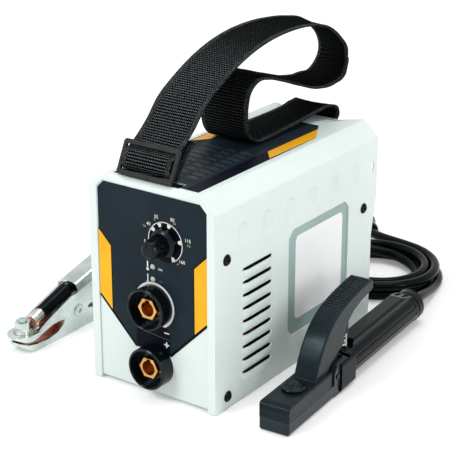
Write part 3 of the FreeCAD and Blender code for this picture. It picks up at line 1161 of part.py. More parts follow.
def pipe(edges, radius):
    wire = Part.Wire(edges)
    first = edges[0]
    start = first.valueAt(first.FirstParameter)
    heading = first.tangentAt(first.FirstParameter)
    if first.Orientation == "Reversed":
        start = first.valueAt(first.LastParameter)
        heading = first.tangentAt(first.LastParameter).multiply(-1)
    ring = Part.Wire(Part.makeCircle(radius, start, heading))
    solid = wire.makePipeShell([ring], True, False)
    length = sum(edge.Length for edge in edges)
    expected = math.pi * radius * radius * length
    print("tube length %.1f, volume %.0f of %.0f" % (length, solid.Volume, expected))
    return solid


def tube_through(points, tangents, radius):
    edges = []
    for k in range(len(points) - 1):
        edges += biarc(points[k], tangents[k], points[k + 1], tangents[k + 1])
    return pipe(edges, radius)


def shape_item(name, shape):
    item = add("Part::Feature", name)
    item.Shape = shape
    return item


# Electrode holder, in its own frame.
origin_y = LOCAL
jaw_half = s.holder_half_width
lower_jaw = soften(
    block(-jaw_half, s.jaw_front, 0, jaw_half * 2, s.cheek_front + 4 - s.jaw_front, s.jaw_low_z),
    s.jaw_round, lambda e: (runs_along(e, "y") and e.CenterOfMass.z < 1)
    or (runs_along(e, "z") and e.CenterOfMass.y < 0) or (runs_along(e, "x") and e.CenterOfMass.y < 0
                                                         and e.CenterOfMass.z < 1))
cheek_profile = [(s.cheek_front, 0.6), (s.cheek_rear, 0.6), (s.cheek_rear, s.cheek_top_z - 4),
                 (s.cheek_rear - 4, s.cheek_top_z), (s.cheek_front + 6, s.cheek_top_z),
                 (s.cheek_front, s.cheek_top_z - 7)]
cheeks = soften(prism(cheek_profile, "yz", -jaw_half, jaw_half * 2), Size(3.0),
                lambda e: runs_along(e, "y") and e.CenterOfMass.z > 20)
cheek_slot = block(-s.cheek_inner, s.jaw_rear + 0.5, s.body_floor, s.cheek_inner * 2,
                   s.cheek_rear - 4 - s.jaw_rear - 0.5, s.cheek_top_z)
core = rod("y", 0, s.cheek_rear - 2, s.tube_z, s.tube_core, s.tube_rear - s.cheek_rear - 8)
front_ring = rod("y", 0, s.cheek_rear - 3, s.tube_z, s.tube_outer - 0.8, 3)
lead_radius = s.lead_diameter / 2
lead_bore = rod("y", 0, s.tube_front + 24, s.tube_z, lead_radius + 0.3, s.tube_rear)
pin_hole = rod("x", -jaw_half - 1, s.holder_pin_y, s.holder_pin_z, s.holder_pin / 2, jaw_half * 2 + 2)
pocket_run = s.contact_rear - s.contact_front + 0.05
low_pocket = block(-s.contact_half - 0.05, s.contact_front - 0.05, s.jaw_low_z - s.contact_depth,
                   s.contact_half * 2 + 0.1, pocket_run, s.contact_depth + 1)
holder_body = cut(fuse(cut(fuse(lower_jaw, cheeks), cheek_slot), core, front_ring), lead_bore, pin_hole, low_pocket)
holder_turn = FreeCAD.Rotation(AXES["z"], s.holder_turn.value)


def in_holder(*items):
    return moved(list(items), s.holder_x, FRONT + s.holder_y, 0, holder_turn)


node("holder_body", in_holder(holder_body))

upper_low_z = s.jaw_low_z + s.jaw_gap
upper_profile = [(s.jaw_front, upper_low_z), (s.jaw_rear, upper_low_z), (s.jaw_rear, s.jaw_top_z),
                 (s.jaw_front + 5, s.jaw_top_z), (s.jaw_front + 1.5, s.jaw_top_z - 2.2),
                 (s.jaw_front, s.jaw_top_z - 6)]
upper_jaw = soften(prism(upper_profile, "yz", -jaw_half, jaw_half * 2), Size(1.8),
                   lambda e: (runs_along(e, "y") and e.CenterOfMass.z > 20) or
                   (runs_along(e, "z") and e.CenterOfMass.y < 0))


# The first points of an outline again, closer together on an even curve through them.
def evened(points, count, parts):
    out = []
    for k in range(count - 1):
        p0 = points[max(0, k - 1)]
        p1 = points[k]
        p2 = points[k + 1]
        p3 = points[k + 2]
        for j in range(parts):
            t = j / parts
            out.append(tuple(0.5 * (2 * b + (c - a) * t + (2 * a - 5 * b + 4 * c - d) * t * t
                                    + (3 * b - a - 3 * c + d) * t ** 3) for a, b, c, d in zip(p0, p1, p2, p3)))
    return out + points[count - 1:]


web_profile = [(60, 13), (56, 25), (62, 38), (72, 52), (88, 62), (106, 62), (105, 48), (101, 38.5), (93, 35),
               (90, 27), (90, 16), (86.5, 11.5), (82, 9.6), (76, 10.4), (72, 12.4)]
web = prism(web_profile, "yz", -s.web_half, s.web_half * 2)
arm_profile = [(48, 25), (51, 33), (56, 43), (65, 56), (76, 66), (92, 74), (108, 78), (125, 80.5), (140, 82),
               (149, 82), (152, 79), (152.5, 73), (148, 71), (130, 68.5), (113, 64), (104, 58.5), (97, 50),
               (90, 41), (83, 34.5), (74, 30), (66, 25.2)]
arm = prism(evened(arm_profile, 9, 4), "yz", -s.arm_half, s.arm_half * 2)
arm = soften(arm, Size(1.6), lambda e: abs(abs(e.CenterOfMass.x) - s.arm_half.value) < 1e-6
             and e.CenterOfMass.z > 64 and e.CenterOfMass.y > 92 and e.Length > 2)
grip = []
for k in range(15):
    grip_y = 94.5 + 3.5 * k
    if grip_y < 108:
        grip_z = 74 + (grip_y - 92) * 0.25
    elif grip_y < 125:
        grip_z = 78 + (grip_y - 108) * 0.147
    else:
        grip_z = 80.5 + (grip_y - 125) * 0.1
    for side in (-1, 1):
        grip.append(block(side * s.arm_half * 0.45 - s.arm_half * 0.36, grip_y, grip_z - 1.2, s.arm_half * 0.72,
                          1.8, 2.2))
up_pocket = block(-s.contact_half - 0.05, s.contact_front - 0.05, upper_low_z - 1, s.contact_half * 2 + 0.1,
                  pocket_run, s.contact_depth + 1)
lever_bore = rod("x", -s.web_half - 1, s.holder_pin_y, s.holder_pin_z, s.holder_pin / 2 + s.shaft_fit,
                 s.web_half * 2 + 2)
cap_seat = rod("z", 0, s.holder_cap_y, s.jaw_top_z - 2, s.holder_cap_hole / 2, 4)
boss = rod("z", 0, s.spring_y, s.spring_seat_z, s.spring_radius + 1.5, 22)
lever = cut(fuse(upper_jaw, web, arm, boss, *grip), up_pocket, lever_bore, cap_seat)
node("holder_lever", in_holder(lever))

tube_ends = [(0, s.cheek_rear + 0.4), (s.tube_outer - 2, s.cheek_rear + 0.4), (s.tube_collar, s.cheek_rear + 2),
             (s.tube_collar, s.cheek_rear + 7), (s.tube_outer, s.cheek_rear + 9), (s.tube_outer, s.tube_rear - 14),
             (s.tube_outer + 0.6, s.tube_rear - 12), (s.tube_outer + 0.6, s.tube_rear - 4),
             (s.tube_outer - 2, s.tube_rear), (0, s.tube_rear)]
sleeve = lathe("y", 0, 0, s.tube_z, tube_ends)
ridges = []
for k in range(whole(s.tube_flutes)):
    angle = 2 * math.pi * k / whole(s.tube_flutes)
    reach = s.tube_outer + s.tube_flute * 0.72
    ridges.append(rod("y", reach * math.cos(angle), s.cheek_rear + 12, s.tube_z + reach * math.sin(angle),
                      s.tube_flute, s.tube_rear - s.cheek_rear - 30))
sleeve_core = rod("y", 0, s.cheek_rear - 2, s.tube_z, s.tube_core, s.tube_rear - s.cheek_rear - 8)
sleeve_tail = rod("y", 0, s.tube_rear - 20, s.tube_z, lead_radius + 0.3, 24)
back_profile = [(s.back_front, s.tube_z), (s.back_front, s.back_top - 3), (s.back_front + 3, s.back_top),
                (s.tube_rear - 34, s.back_top), (s.tube_rear - 16, s.tube_z + s.tube_outer),
                (s.tube_rear - 16, s.tube_z)]
handle_back = soften(prism(back_profile, "yz", -s.back_half, s.back_half * 2), Size(2.5),
                     lambda e: runs_along(e, "y") and e.CenterOfMass.z > s.back_top.value - 1)
cup = soften(block(-s.cup_half, s.cup_front, 0.2, s.cup_half * 2, s.cup_rear - s.cup_front, s.cup_top - 0.2),
             Size(5.0), lambda e: runs_along(e, "y"))
cup_inside = block(-s.cup_inner, s.cup_front - 1, 0.1, s.cup_inner * 2, s.cheek_rear + 0.4 - s.cup_front + 1, 60)
handle = cut(fuse(cut(fuse(sleeve, handle_back), *ridges), cup), cup_inside, sleeve_core, sleeve_tail)
node("holder_handle", in_holder(handle))

node("holder_spring", in_holder(shape_item("holder_coil", spring(
    Size(0.0), s.spring_y, s.tube_z + s.tube_outer + s.spring_foot, s.spring_seat_z, s.spring_radius,
    s.spring_wire, s.spring_turns))))
node("holder_pivot_pin", in_holder(rod("x", -jaw_half - 0.8, s.holder_pin_y, s.holder_pin_z, s.holder_pin / 2,
                                       jaw_half * 2 + 1.6)))
grooves_low = [rod("x", -s.contact_half - 1, s.contact_front + 5 + 9 * k, s.jaw_low_z + 0.2, s.grip_groove,
                   s.contact_half * 2 + 2) for k in range(4)]
node("holder_lower_contact", in_holder(cut(
    block(-s.contact_half, s.contact_front, s.jaw_low_z - s.contact_depth, s.contact_half * 2,
          s.contact_rear - s.contact_front, s.contact_depth), *grooves_low)))
grooves_high = [rod("x", -s.contact_half - 1, s.contact_front + 5 + 9 * k, upper_low_z - 0.2, s.grip_groove,
                    s.contact_half * 2 + 2) for k in range(4)]
node("holder_upper_contact", in_holder(cut(
    block(-s.contact_half, s.contact_front, upper_low_z, s.contact_half * 2,
          s.contact_rear - s.contact_front, s.contact_depth), *grooves_high)))
cap_low = s.jaw_top_z
cap_top = cap_low + s.holder_cap_height
cap_profile = [(0, cap_low - 1.8), (s.holder_cap_hole / 2, cap_low - 1.8), (s.holder_cap_hole / 2, cap_low),
               (s.holder_cap_radius, cap_low), (s.holder_cap_radius, cap_top - 0.8),
               (s.holder_cap_radius - 0.8, cap_top), (s.holder_cap_radius - 3, cap_top),
               (s.holder_cap_radius - 3.6, cap_top - 1), (s.holder_cap_hole / 2 + 1, cap_top - 1),
               (s.holder_cap_hole / 2 + 0.5, cap_top), (1.6, cap_top), (1.2, cap_top - 1.6), (0, cap_top - 1.6)]
node("holder_cap", in_holder(lathe("z", 0, s.holder_cap_y, 0, cap_profile)))

# Earth clamp, in its own frame, lying on its lower half.
sheet_c = s.clamp_sheet


def plan(half_width):
    long = 150
    return fuse(block(-half_width, s.clamp_nose_y, -5, half_width * 2, long, 90),
                rod("z", 0, s.clamp_nose_y, -5, half_width, 90))


upper_top = [(-14.5, s.clamp_web_z - 1.4), (-9.5, s.clamp_web_z), (9, s.clamp_web_z), (19.5, 23.4), (38, 30.4),
             (54, 36), (s.clamp_hood_y, 38), (s.clamp_hood_y, 46), (128, 62.5), (128, 59)]
upper_low = [(124, 37), (104, 26), (88, 22.5), (76, 20.5), (68, 12.5), (60, 10.5), (53, 12), (46.4, 16.8),
             (36, 18.8), (26, 18.6), (14, 15.6), (6, 13), (-1, 11.9), (-9, 13), (-14.5, 15.6)]


def hood_edges(edge):
    ends = [vertex.Point for vertex in edge.Vertexes]
    return len(ends) == 2 and abs(ends[0].y - ends[1].y) > 50 and edge.CenterOfMass.z > 45


upper_outer = soften(
    common(prism(upper_top + upper_low, "yz", -s.clamp_half, s.clamp_half * 2), plan(s.clamp_half)),
    s.clamp_hood_round, hood_edges)
upper_inner_top = [(y, z - sheet_c) for y, z in upper_top[:-2]] + [(132, 61.5)]
channel = block(-s.clamp_half + sheet_c, s.clamp_channel_y, 12, (s.clamp_half - sheet_c) * 2,
                s.clamp_hood_y + 0.4 - s.clamp_channel_y, 60)
upper_inner = soften(
    common(prism([(-14.5, 0)] + upper_inner_top + [(132, 0)], "yz", -s.clamp_half + sheet_c,
                 (s.clamp_half - sheet_c) * 2), plan(s.clamp_half - sheet_c)),
    s.clamp_hood_round - sheet_c, hood_edges)
rivet_hole = rod("x", -s.clamp_half - 1, s.rivet_y, s.rivet_z, s.rivet_diameter / 2, s.clamp_half * 2 + 2)
rivet_hole_running = rod("x", -s.clamp_half - 1, s.rivet_y, s.rivet_z, s.rivet_diameter / 2 + s.shaft_fit,
                         s.clamp_half * 2 + 2)
bolt_hole = rod("z", 0, s.clamp_bolt_y, 12, s.clamp_bolt_diameter / 2 + s.thread_fit, 12)
seat_half = s.clamp_half - sheet_c / 2
seat = block(-seat_half, s.clamp_spring_y - 8, s.clamp_seat_z, seat_half * 2, 16, sheet_c)
upper_half = fuse(cut(upper_outer, upper_inner, channel, rivet_hole_running, bolt_hole), seat)
lower_half_width = s.clamp_half - sheet_c - 0.1
lower_top = [(-14.5, 12.5), (-9, 10.2), (-2, 7.9), (7, 5.9), (20.7, 5.0), (34.4, 7.2), (42, 12), (48, 20),
             (54, 27), (62, 29.5), (70, 26), (78, 15.5), (92, 12.5), (120, 12), (126, 9)]
lower_low = [(126, 2.4), (122, 0), (8, 0), (3, 0.6), (-2, 2.6), (-9, 7), (-14.5, 11)]
lower_outer = common(prism(lower_top + lower_low, "yz", -lower_half_width, lower_half_width * 2),
                     plan(lower_half_width))
lower_floor = [(126, 4.4), (121, 2), (8, 2), (3, 2.6), (-2, 4.6), (-9, 9.0), (-16.5, 14)]
lower_inner = common(
    prism([(-16.5, 40), (130, 40), (130, 4.4)] + lower_floor, "yz", -lower_half_width + sheet_c,
          (lower_half_width - sheet_c) * 2),
    plan(lower_half_width - sheet_c))
lower_half = cut(lower_outer, lower_inner, rivet_hole)


def in_clamp(*items):
    return moved(list(items), s.clamp_x, FRONT, 0, FreeCAD.Rotation())


node("clamp_upper_jaw", in_clamp(upper_half))
node("clamp_lower_jaw", in_clamp(lower_half))
rivet_reach = s.clamp_half + 0.1
rivet = lathe("x", 0, s.rivet_y, s.rivet_z, [
    (0, -rivet_reach - s.rivet_head_height), (s.rivet_head / 2 - 1.4, -rivet_reach - s.rivet_head_height),
    (s.rivet_head / 2, -rivet_reach - 0.4), (s.rivet_head / 2, -rivet_reach), (s.rivet_diameter / 2, -rivet_reach),
    (s.rivet_diameter / 2, rivet_reach), (s.rivet_head / 2, rivet_reach), (s.rivet_head / 2, rivet_reach + 0.4),
    (s.rivet_head / 2 - 1.4, rivet_reach + s.rivet_head_height), (2.4, rivet_reach + s.rivet_head_height),
    (2.0, rivet_reach + 0.2), (0, rivet_reach + 0.2)])
node("clamp_pivot_rivet", in_clamp(rivet))
node("clamp_spring", in_clamp(shape_item("clamp_coil", spring(
    Size(0.0), s.clamp_spring_y, sheet_c, s.clamp_seat_z, s.clamp_spring_radius, s.clamp_spring_wire,
    s.clamp_spring_turns))))


# A contact strip is a thin ribbon that follows the inside of its jaw.
def ribbon_item(points, width):
    item = add("Part::Feature", "strip_outline")
    item.Shape = ribbon_face(points, None, s.contact_strip.value, -width.value / 2)
    return sweep_along(item, AXES["x"], width)


strip_width = s.clamp_inner_half * 2 - sheet_c * 2 - 0.4
node("clamp_upper_contact", in_clamp(ribbon_item(
    [(-6, 11.5), (0, 11.0), (6, 11.6), (14, 14.4), (26, 17.4), (38, 18.0), (45, 16.6)], strip_width)))
node("clamp_lower_contact", in_clamp(ribbon_item(
    [(-4, 8.2), (1, 7.1), (7, 6.2), (18, 4.9), (30, 5.6), (38, 9.0), (42.5, 13.4)], strip_width)))
nut_corner = s.clamp_nut_across / 2 / math.cos(math.pi / 6)
bolt_low = s.clamp_web_z - sheet_c - s.clamp_bolt_head_height - 0.1
clamp_bolt = fuse(
    rod("z", 0, s.clamp_bolt_y, bolt_low, s.clamp_bolt_head / 2, s.clamp_bolt_head_height),
    rod("z", 0, s.clamp_bolt_y, bolt_low, s.clamp_bolt_diameter / 2, s.clamp_bolt_top_z - bolt_low))
node("clamp_bolt", in_clamp(clamp_bolt))
lug_low = s.clamp_web_z + 0.15
lug_shape = fuse(
    rod("z", 0, s.clamp_bolt_y, lug_low, 9.0, s.lug_plate),
    block(-6.5, s.clamp_bolt_y, lug_low, 13, 14, s.lug_plate))
barrel_dir = FreeCAD.Vector(0, 46, 13.5).normalize()
barrel = add("Part::Cylinder", "barrel")
bind(barrel, "Radius", s.sleeve_small - 0.6)
bind(barrel, "Height", Size(18.0))
barrel_y = 12.0
barrel_z = s.clamp_web_z + 6.2
put(barrel, 0, origin_y + barrel_y, barrel_z, FreeCAD.Rotation(AXES["z"], barrel_dir))
lug_neck = prism([(11, lug_low), (14.5, lug_low), (17.5, barrel_z - 1.6), (17, barrel_z + 4.9),
                  (13.6, barrel_z + 3.9), (12.4, barrel_z - 1.6), (11, lug_low + s.lug_plate)], "yz", -4.5, 9)
node("clamp_cable_lug", in_clamp(cut(fuse(lug_shape, barrel, lug_neck), rod(
    "z", 0, s.clamp_bolt_y, lug_low - 1, s.clamp_bolt_diameter / 2 + s.thread_fit, 20))))
nut_low = lug_low + s.lug_plate
clamp_nut = fuse(
    hexagon("z", 0, s.clamp_bolt_y, nut_low + 1.4, nut_corner, s.clamp_nut_height),
    rod("z", 0, s.clamp_bolt_y, nut_low, nut_corner + 0.6, 1.4))
node("clamp_nut", in_clamp(cut(clamp_nut, rod("z", 0, s.clamp_bolt_y, nut_low - 1, s.clamp_bolt_diameter / 2
                                              + s.thread_fit, s.clamp_nut_height + 4))))
sleeve_run = 36.0
sleeve_y = barrel_y + barrel_dir.y * 13.0
sleeve_z = barrel_z + barrel_dir.z * 13.0
clamp_sleeve = add("Part::Cone", "cable_sleeve")
bind(clamp_sleeve, "Radius1", s.sleeve_small + 0.4)
bind(clamp_sleeve, "Radius2", s.sleeve_large)
bind(clamp_sleeve, "Height", Size(sleeve_run))
put(clamp_sleeve, 0, origin_y + sleeve_y, sleeve_z, FreeCAD.Rotation(AXES["z"], barrel_dir))
sleeve_bore = add("Part::Cylinder", "sleeve_bore")
bind(sleeve_bore, "Radius", s.sleeve_small - 0.6)
bind(sleeve_bore, "Height", Size(sleeve_run + 4))
put(sleeve_bore, 0, origin_y + sleeve_y - barrel_dir.y * 2, sleeve_z - barrel_dir.z * 2,
    FreeCAD.Rotation(AXES["z"], barrel_dir))
# The mouth is wider, so that the jaw can turn about the lead that runs into it.
mouth_run = 16.0
sleeve_mouth = add("Part::Cylinder", "sleeve_mouth")
bind(sleeve_mouth, "Radius", s.sleeve_small - 0.1)
bind(sleeve_mouth, "Height", Size(mouth_run + 2))
put(sleeve_mouth, 0, origin_y + sleeve_y + barrel_dir.y * (sleeve_run - mouth_run),
    sleeve_z + barrel_dir.z * (sleeve_run - mouth_run), FreeCAD.Rotation(AXES["z"], barrel_dir))
node("clamp_cable_sleeve", in_clamp(cut(clamp_sleeve, sleeve_bore, sleeve_mouth)))
origin_y = FRONT

# The leads. Each is one unbroken tube: a lead-in, two layers of loose turns on the floor and a tail.
strand = s.lead_diameter + s.lead_gap
low_layer = lead_radius
high_layer = lead_radius + strand
inner_turns = 2.0
climb_turns = 0.5


def coil_point(turns, outer, centre_x, centre_y, start_angle, sense):
    pitch = strand.value
    inner = outer - pitch * inner_turns
    if turns <= inner_turns:
        radius = outer - pitch * turns
        height = low_layer.value
    elif turns <= inner_turns + climb_turns:
        part = (turns - inner_turns) / climb_turns
        radius = inner - 2.7 * math.sin(math.pi * part)
        height = low_layer.value + pitch * (0.5 - 0.5 * math.cos(math.pi * part))
    else:
        radius = inner + pitch * (turns - inner_turns - climb_turns)
        height = high_layer.value
    angle = start_angle + sense * 2 * math.pi * turns
    return FreeCAD.Vector(centre_x + radius * math.cos(angle), centre_y + radius * math.sin(angle), height)


def coil_route(total, outer, centre_x, centre_y, start_angle, sense):
    points = []
    tangents = []
    count = int(round(total * 8))
    for k in range(count + 1):
        turns = total * k / count
        here = coil_point(turns, outer, centre_x, centre_y, start_angle, sense)
        small = 1e-4
        after = coil_point(min(total, turns + small), outer, centre_x, centre_y, start_angle, sense)
        before = coil_point(max(0.0, turns - small), outer, centre_x, centre_y, start_angle, sense)
        points.append(here)
        tangents.append(after.sub(before).normalize())
    return points, tangents


def self_gap(edges, diameter):
    samples = []
    length = 0.0
    for edge in edges:
        steps = max(2, int(edge.Length / 2.0))
        for k in range(steps):
            part = edge.FirstParameter + (edge.LastParameter - edge.FirstParameter) * k / steps
            samples.append((length + edge.Length * k / steps, edge.valueAt(part)))
        length += edge.Length
    best = 1e9
    for i in range(len(samples)):
        for j in range(i + 1, len(samples)):
            if samples[j][0] - samples[i][0] > diameter * 4:
                best = min(best, samples[i][1].distanceToPoint(samples[j][1]))
    return best - diameter


def lead(name, head_points, head_tangents, coil, tail_points, tail_tangents):
    points = head_points + coil[0] + tail_points
    tangents = [FreeCAD.Vector(t).normalize() for t in head_tangents] + coil[1] + [
        FreeCAD.Vector(t).normalize() for t in tail_tangents]
    edges = []
    for k in range(len(points) - 1):
        edges += biarc(points[k], tangents[k], points[k + 1], tangents[k + 1])
    print("%s: gap to itself %.2f" % (name, self_gap(edges, s.lead_diameter.value)))
    return node(name, shape_item(name + "_tube", pipe(edges, lead_radius.value)))


def world(x, y, z):
    return FreeCAD.Vector(x, FRONT.value + y, z)


turned = math.radians(s.holder_turn.value)
tail_dir = FreeCAD.Vector(-math.sin(turned), math.cos(turned), 0)


def on_holder(along):
    return FreeCAD.Vector(s.holder_x.value, FRONT.value + s.holder_y.value, s.tube_z.value).add(
        FreeCAD.Vector(tail_dir).multiply(along))


electrode_coil = coil_route(4.25, s.electrode_coil_radius.value, s.electrode_coil_x.value,
                            FRONT.value + s.electrode_coil_y.value, 0.0, 1)
plug_z = s.plug_radius
electrode_plug_at = world(-26.0, 409.0, plug_z.value)
electrode_plug_dir = FreeCAD.Vector(-0.75, 0.66, 0).normalize()
lead("electrode_lead", [on_holder(s.tube_front.value + 26), on_holder(s.tube_rear.value + 4)], [tail_dir, tail_dir],
     electrode_coil, [electrode_plug_at, electrode_plug_at.add(FreeCAD.Vector(electrode_plug_dir).multiply(24))],
     [electrode_plug_dir, electrode_plug_dir])

earth_coil = coil_route(4.5, s.earth_coil_radius.value, s.earth_coil_x.value, FRONT.value + s.earth_coil_y.value,
                        math.radians(270), -1)
earth_plug_at = world(s.earth_coil_x.value + 42, s.earth_coil_y.value + 65.5, plug_z.value)
earth_plug_dir = FreeCAD.Vector(1, 0.02, 0).normalize()
clamp_x = s.clamp_x.value
lead("earth_lead",
     [world(clamp_x, 55, 37.5), world(clamp_x, 88, 35.4), world(clamp_x, 120, 30.6),
      world(clamp_x + 1, 200, low_layer.value)],
     [(0, 1, 0), (0, 1, -0.1), (0, 1, -0.2), (-0.02, 1, 0)],
     earth_coil, [earth_plug_at, earth_plug_at.add(FreeCAD.Vector(earth_plug_dir).multiply(24))],
     [earth_plug_dir, earth_plug_dir])

# Twist-lock plugs at the free ends of the leads: a rubber body and a brass pin.
origin_y = LOCAL
plug_body = lathe("y", 0, 0, 0, [
    (0, 0), (s.plug_neck_radius - 1.2, 0), (s.plug_neck_radius, 3), (s.plug_neck_radius + 0.6, 14),
    (s.plug_radius - 0.8, 22), (s.plug_radius, 24), (s.plug_radius, s.plug_length - 1.5),
    (s.plug_radius - 1.5, s.plug_length), (0, s.plug_length)])
plug_tools = [rod("y", 0, -1, 0, lead_radius, 25), rod("y", 0, 25, 0, s.plug_pin_radius - 1.0, s.plug_length)]
for k in range(10):
    angle = 2 * math.pi * k / 10
    reach = s.plug_radius + 1.0
    plug_tools.append(rod("y", reach * math.cos(angle), 28, reach * math.sin(angle), 1.8, s.plug_length - 36))
plug_body = cut(plug_body, *plug_tools)
pin_front = s.plug_length
plug_pin = fuse(
    rod("y", 0, 26, 0, s.plug_pin_radius - 1.0, s.plug_length - 26 + 2),
    lathe("y", 0, 0, 0, [(0, pin_front), (s.plug_pin_radius, pin_front),
                         (s.plug_pin_radius, pin_front + s.plug_pin_length - 1.2),
                         (s.plug_pin_radius - 1.2, pin_front + s.plug_pin_length),
                         (0, pin_front + s.plug_pin_length)]),
    block(-s.plug_key / 2, pin_front + 13, 0, s.plug_key, 6, s.plug_pin_radius + 1.3))


def heading_turn(direction):
    return FreeCAD.Rotation(AXES["z"], math.degrees(math.atan2(-direction.x, direction.y)))


bodies = []
pins = []
for at, heading in ((electrode_plug_at, electrode_plug_dir), (earth_plug_at, earth_plug_dir)):
    bodies.append(copy_at(plug_body, at.x, at.y, at.z, heading_turn(heading)))
    pins.append(copy_at(plug_pin, at.x, at.y, at.z, heading_turn(heading)))
node("plug_bodies", *bodies)
node("plug_pins", *pins)

doc.recompute()
faulty = [item.Label for item in doc.Objects if "Invalid" in item.State or "Error" in item.State]
if faulty:
    raise RuntimeError("these objects did not compute: %s" % ", ".join(faulty))
os.makedirs("parts", exist_ok=True)
total = 0.0
for item in nodes:
    shape = item.Shape
    if shape.isNull() or not shape.isValid() or not shape.Solids:
        raise RuntimeError("%s is not a sound solid" % item.Label)
    shape.exportStep("parts/%s.step" % item.Label)
    box = shape.BoundBox
    total += shape.Volume
    print("%-24s solids %2d  volume %10.1f  x %7.1f %7.1f  y %7.1f %7.1f  z %6.1f %6.1f" % (
        item.Label, len(shape.Solids), shape.Volume, box.XMin, box.XMax, box.YMin, box.YMax, box.ZMin, box.ZMax))
print("nodes %d, solid volume %.0f cubic mm" % (len(nodes), total))
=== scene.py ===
import math
from collections import namedtuple

import bmesh
import bpy
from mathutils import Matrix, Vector


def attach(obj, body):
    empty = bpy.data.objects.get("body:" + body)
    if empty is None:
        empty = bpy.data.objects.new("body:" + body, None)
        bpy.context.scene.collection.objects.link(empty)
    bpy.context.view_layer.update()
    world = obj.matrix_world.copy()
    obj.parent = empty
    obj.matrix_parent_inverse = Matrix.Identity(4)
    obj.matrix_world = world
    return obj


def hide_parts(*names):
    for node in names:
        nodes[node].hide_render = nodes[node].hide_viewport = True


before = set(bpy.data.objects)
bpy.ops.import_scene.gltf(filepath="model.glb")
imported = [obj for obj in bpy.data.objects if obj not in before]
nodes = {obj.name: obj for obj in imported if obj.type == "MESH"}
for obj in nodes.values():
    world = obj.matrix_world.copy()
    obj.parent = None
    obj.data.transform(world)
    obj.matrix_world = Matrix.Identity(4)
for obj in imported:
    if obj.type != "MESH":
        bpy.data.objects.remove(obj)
scene = bpy.context.scene
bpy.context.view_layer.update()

# Sizes and places in the part's own millimetres, with y from the casing's front edge
FRONT_EDGE = -123.5
DECAL_FACE = 1.0
PANEL_FACE = 1.3
ROOF_FACE = 190.3
BADGE_FIELD = 64.0
KNOB = (14.4, 143.1)
UPPER_SOCKET = (2.0, 84.0)
LOWER_SOCKET = (2.0, 29.7)
SOCKET_RING = (18.7, 20.7)
DIAL_RING = (12.0, 17.3)
DIAL_MARKS = (-54, -21.6, 15, 78, 149)
LEAD = 9.6
ON_FLOOR = LEAD / 2
HOLDER = (119.1, 7.7, 15.4)
HOLDER_TURN = math.radians(4.0)
SLIDER = (12.0, 204.3)
SLIDER_LEAN = math.radians(26.0)
STRAP_WIDTH = 50.0


def at(x, y, z):
    """A point given in the source's millimetres, in the frame's metres."""
    return Vector((x / 1000, (y + FRONT_EDGE) / 1000, z / 1000))


# Camera at the photograph's viewing angle, in metres
def photo_camera():
    data = bpy.data.cameras.new("camera")
    data.sensor_width = 36.0
    data.lens = 115.86
    data.clip_start = 0.05
    data.clip_end = 60.0
    made = bpy.data.objects.new("camera", data)
    made.location = (0.6950, -0.9858, 0.5872)
    made.rotation_mode = "QUATERNION"
    made.rotation_quaternion = Vector((-0.5425, 0.7566, -0.3650)).to_track_quat("-Z", "Y")
    scene.collection.objects.link(made)
    return made


scene.camera = photo_camera()
scene.view_settings.view_transform = "Standard"


# Materials, with colours as 0 to 255 and texture scales per metre
BLACK = (0, 0, 0, 1)
WHITE = (1, 1, 1, 1)
COAT_ROUGHNESS = 0.12
COOL_SHEEN = (212, 244, 255)


def linear(rgb):
    out = []
    for value in rgb:
        v = value / 255.0
        out.append(v / 12.92 if v <= 0.04045 else ((v + 0.055) / 1.055) ** 2.4)
    return (*out, 1.0)


def add_node(tree, kind, values, **settings):
    """A new node: settings are its own properties, and values go to its inputs as constants or links."""
    made = tree.nodes.new(kind)
    for name, value in settings.items():
        setattr(made, name, value)
    for name, value in values.items():
        if isinstance(value, bpy.types.NodeSocket):
            tree.links.new(value, made.inputs[name])
        else:
            made.inputs[name].default_value = value
    return made


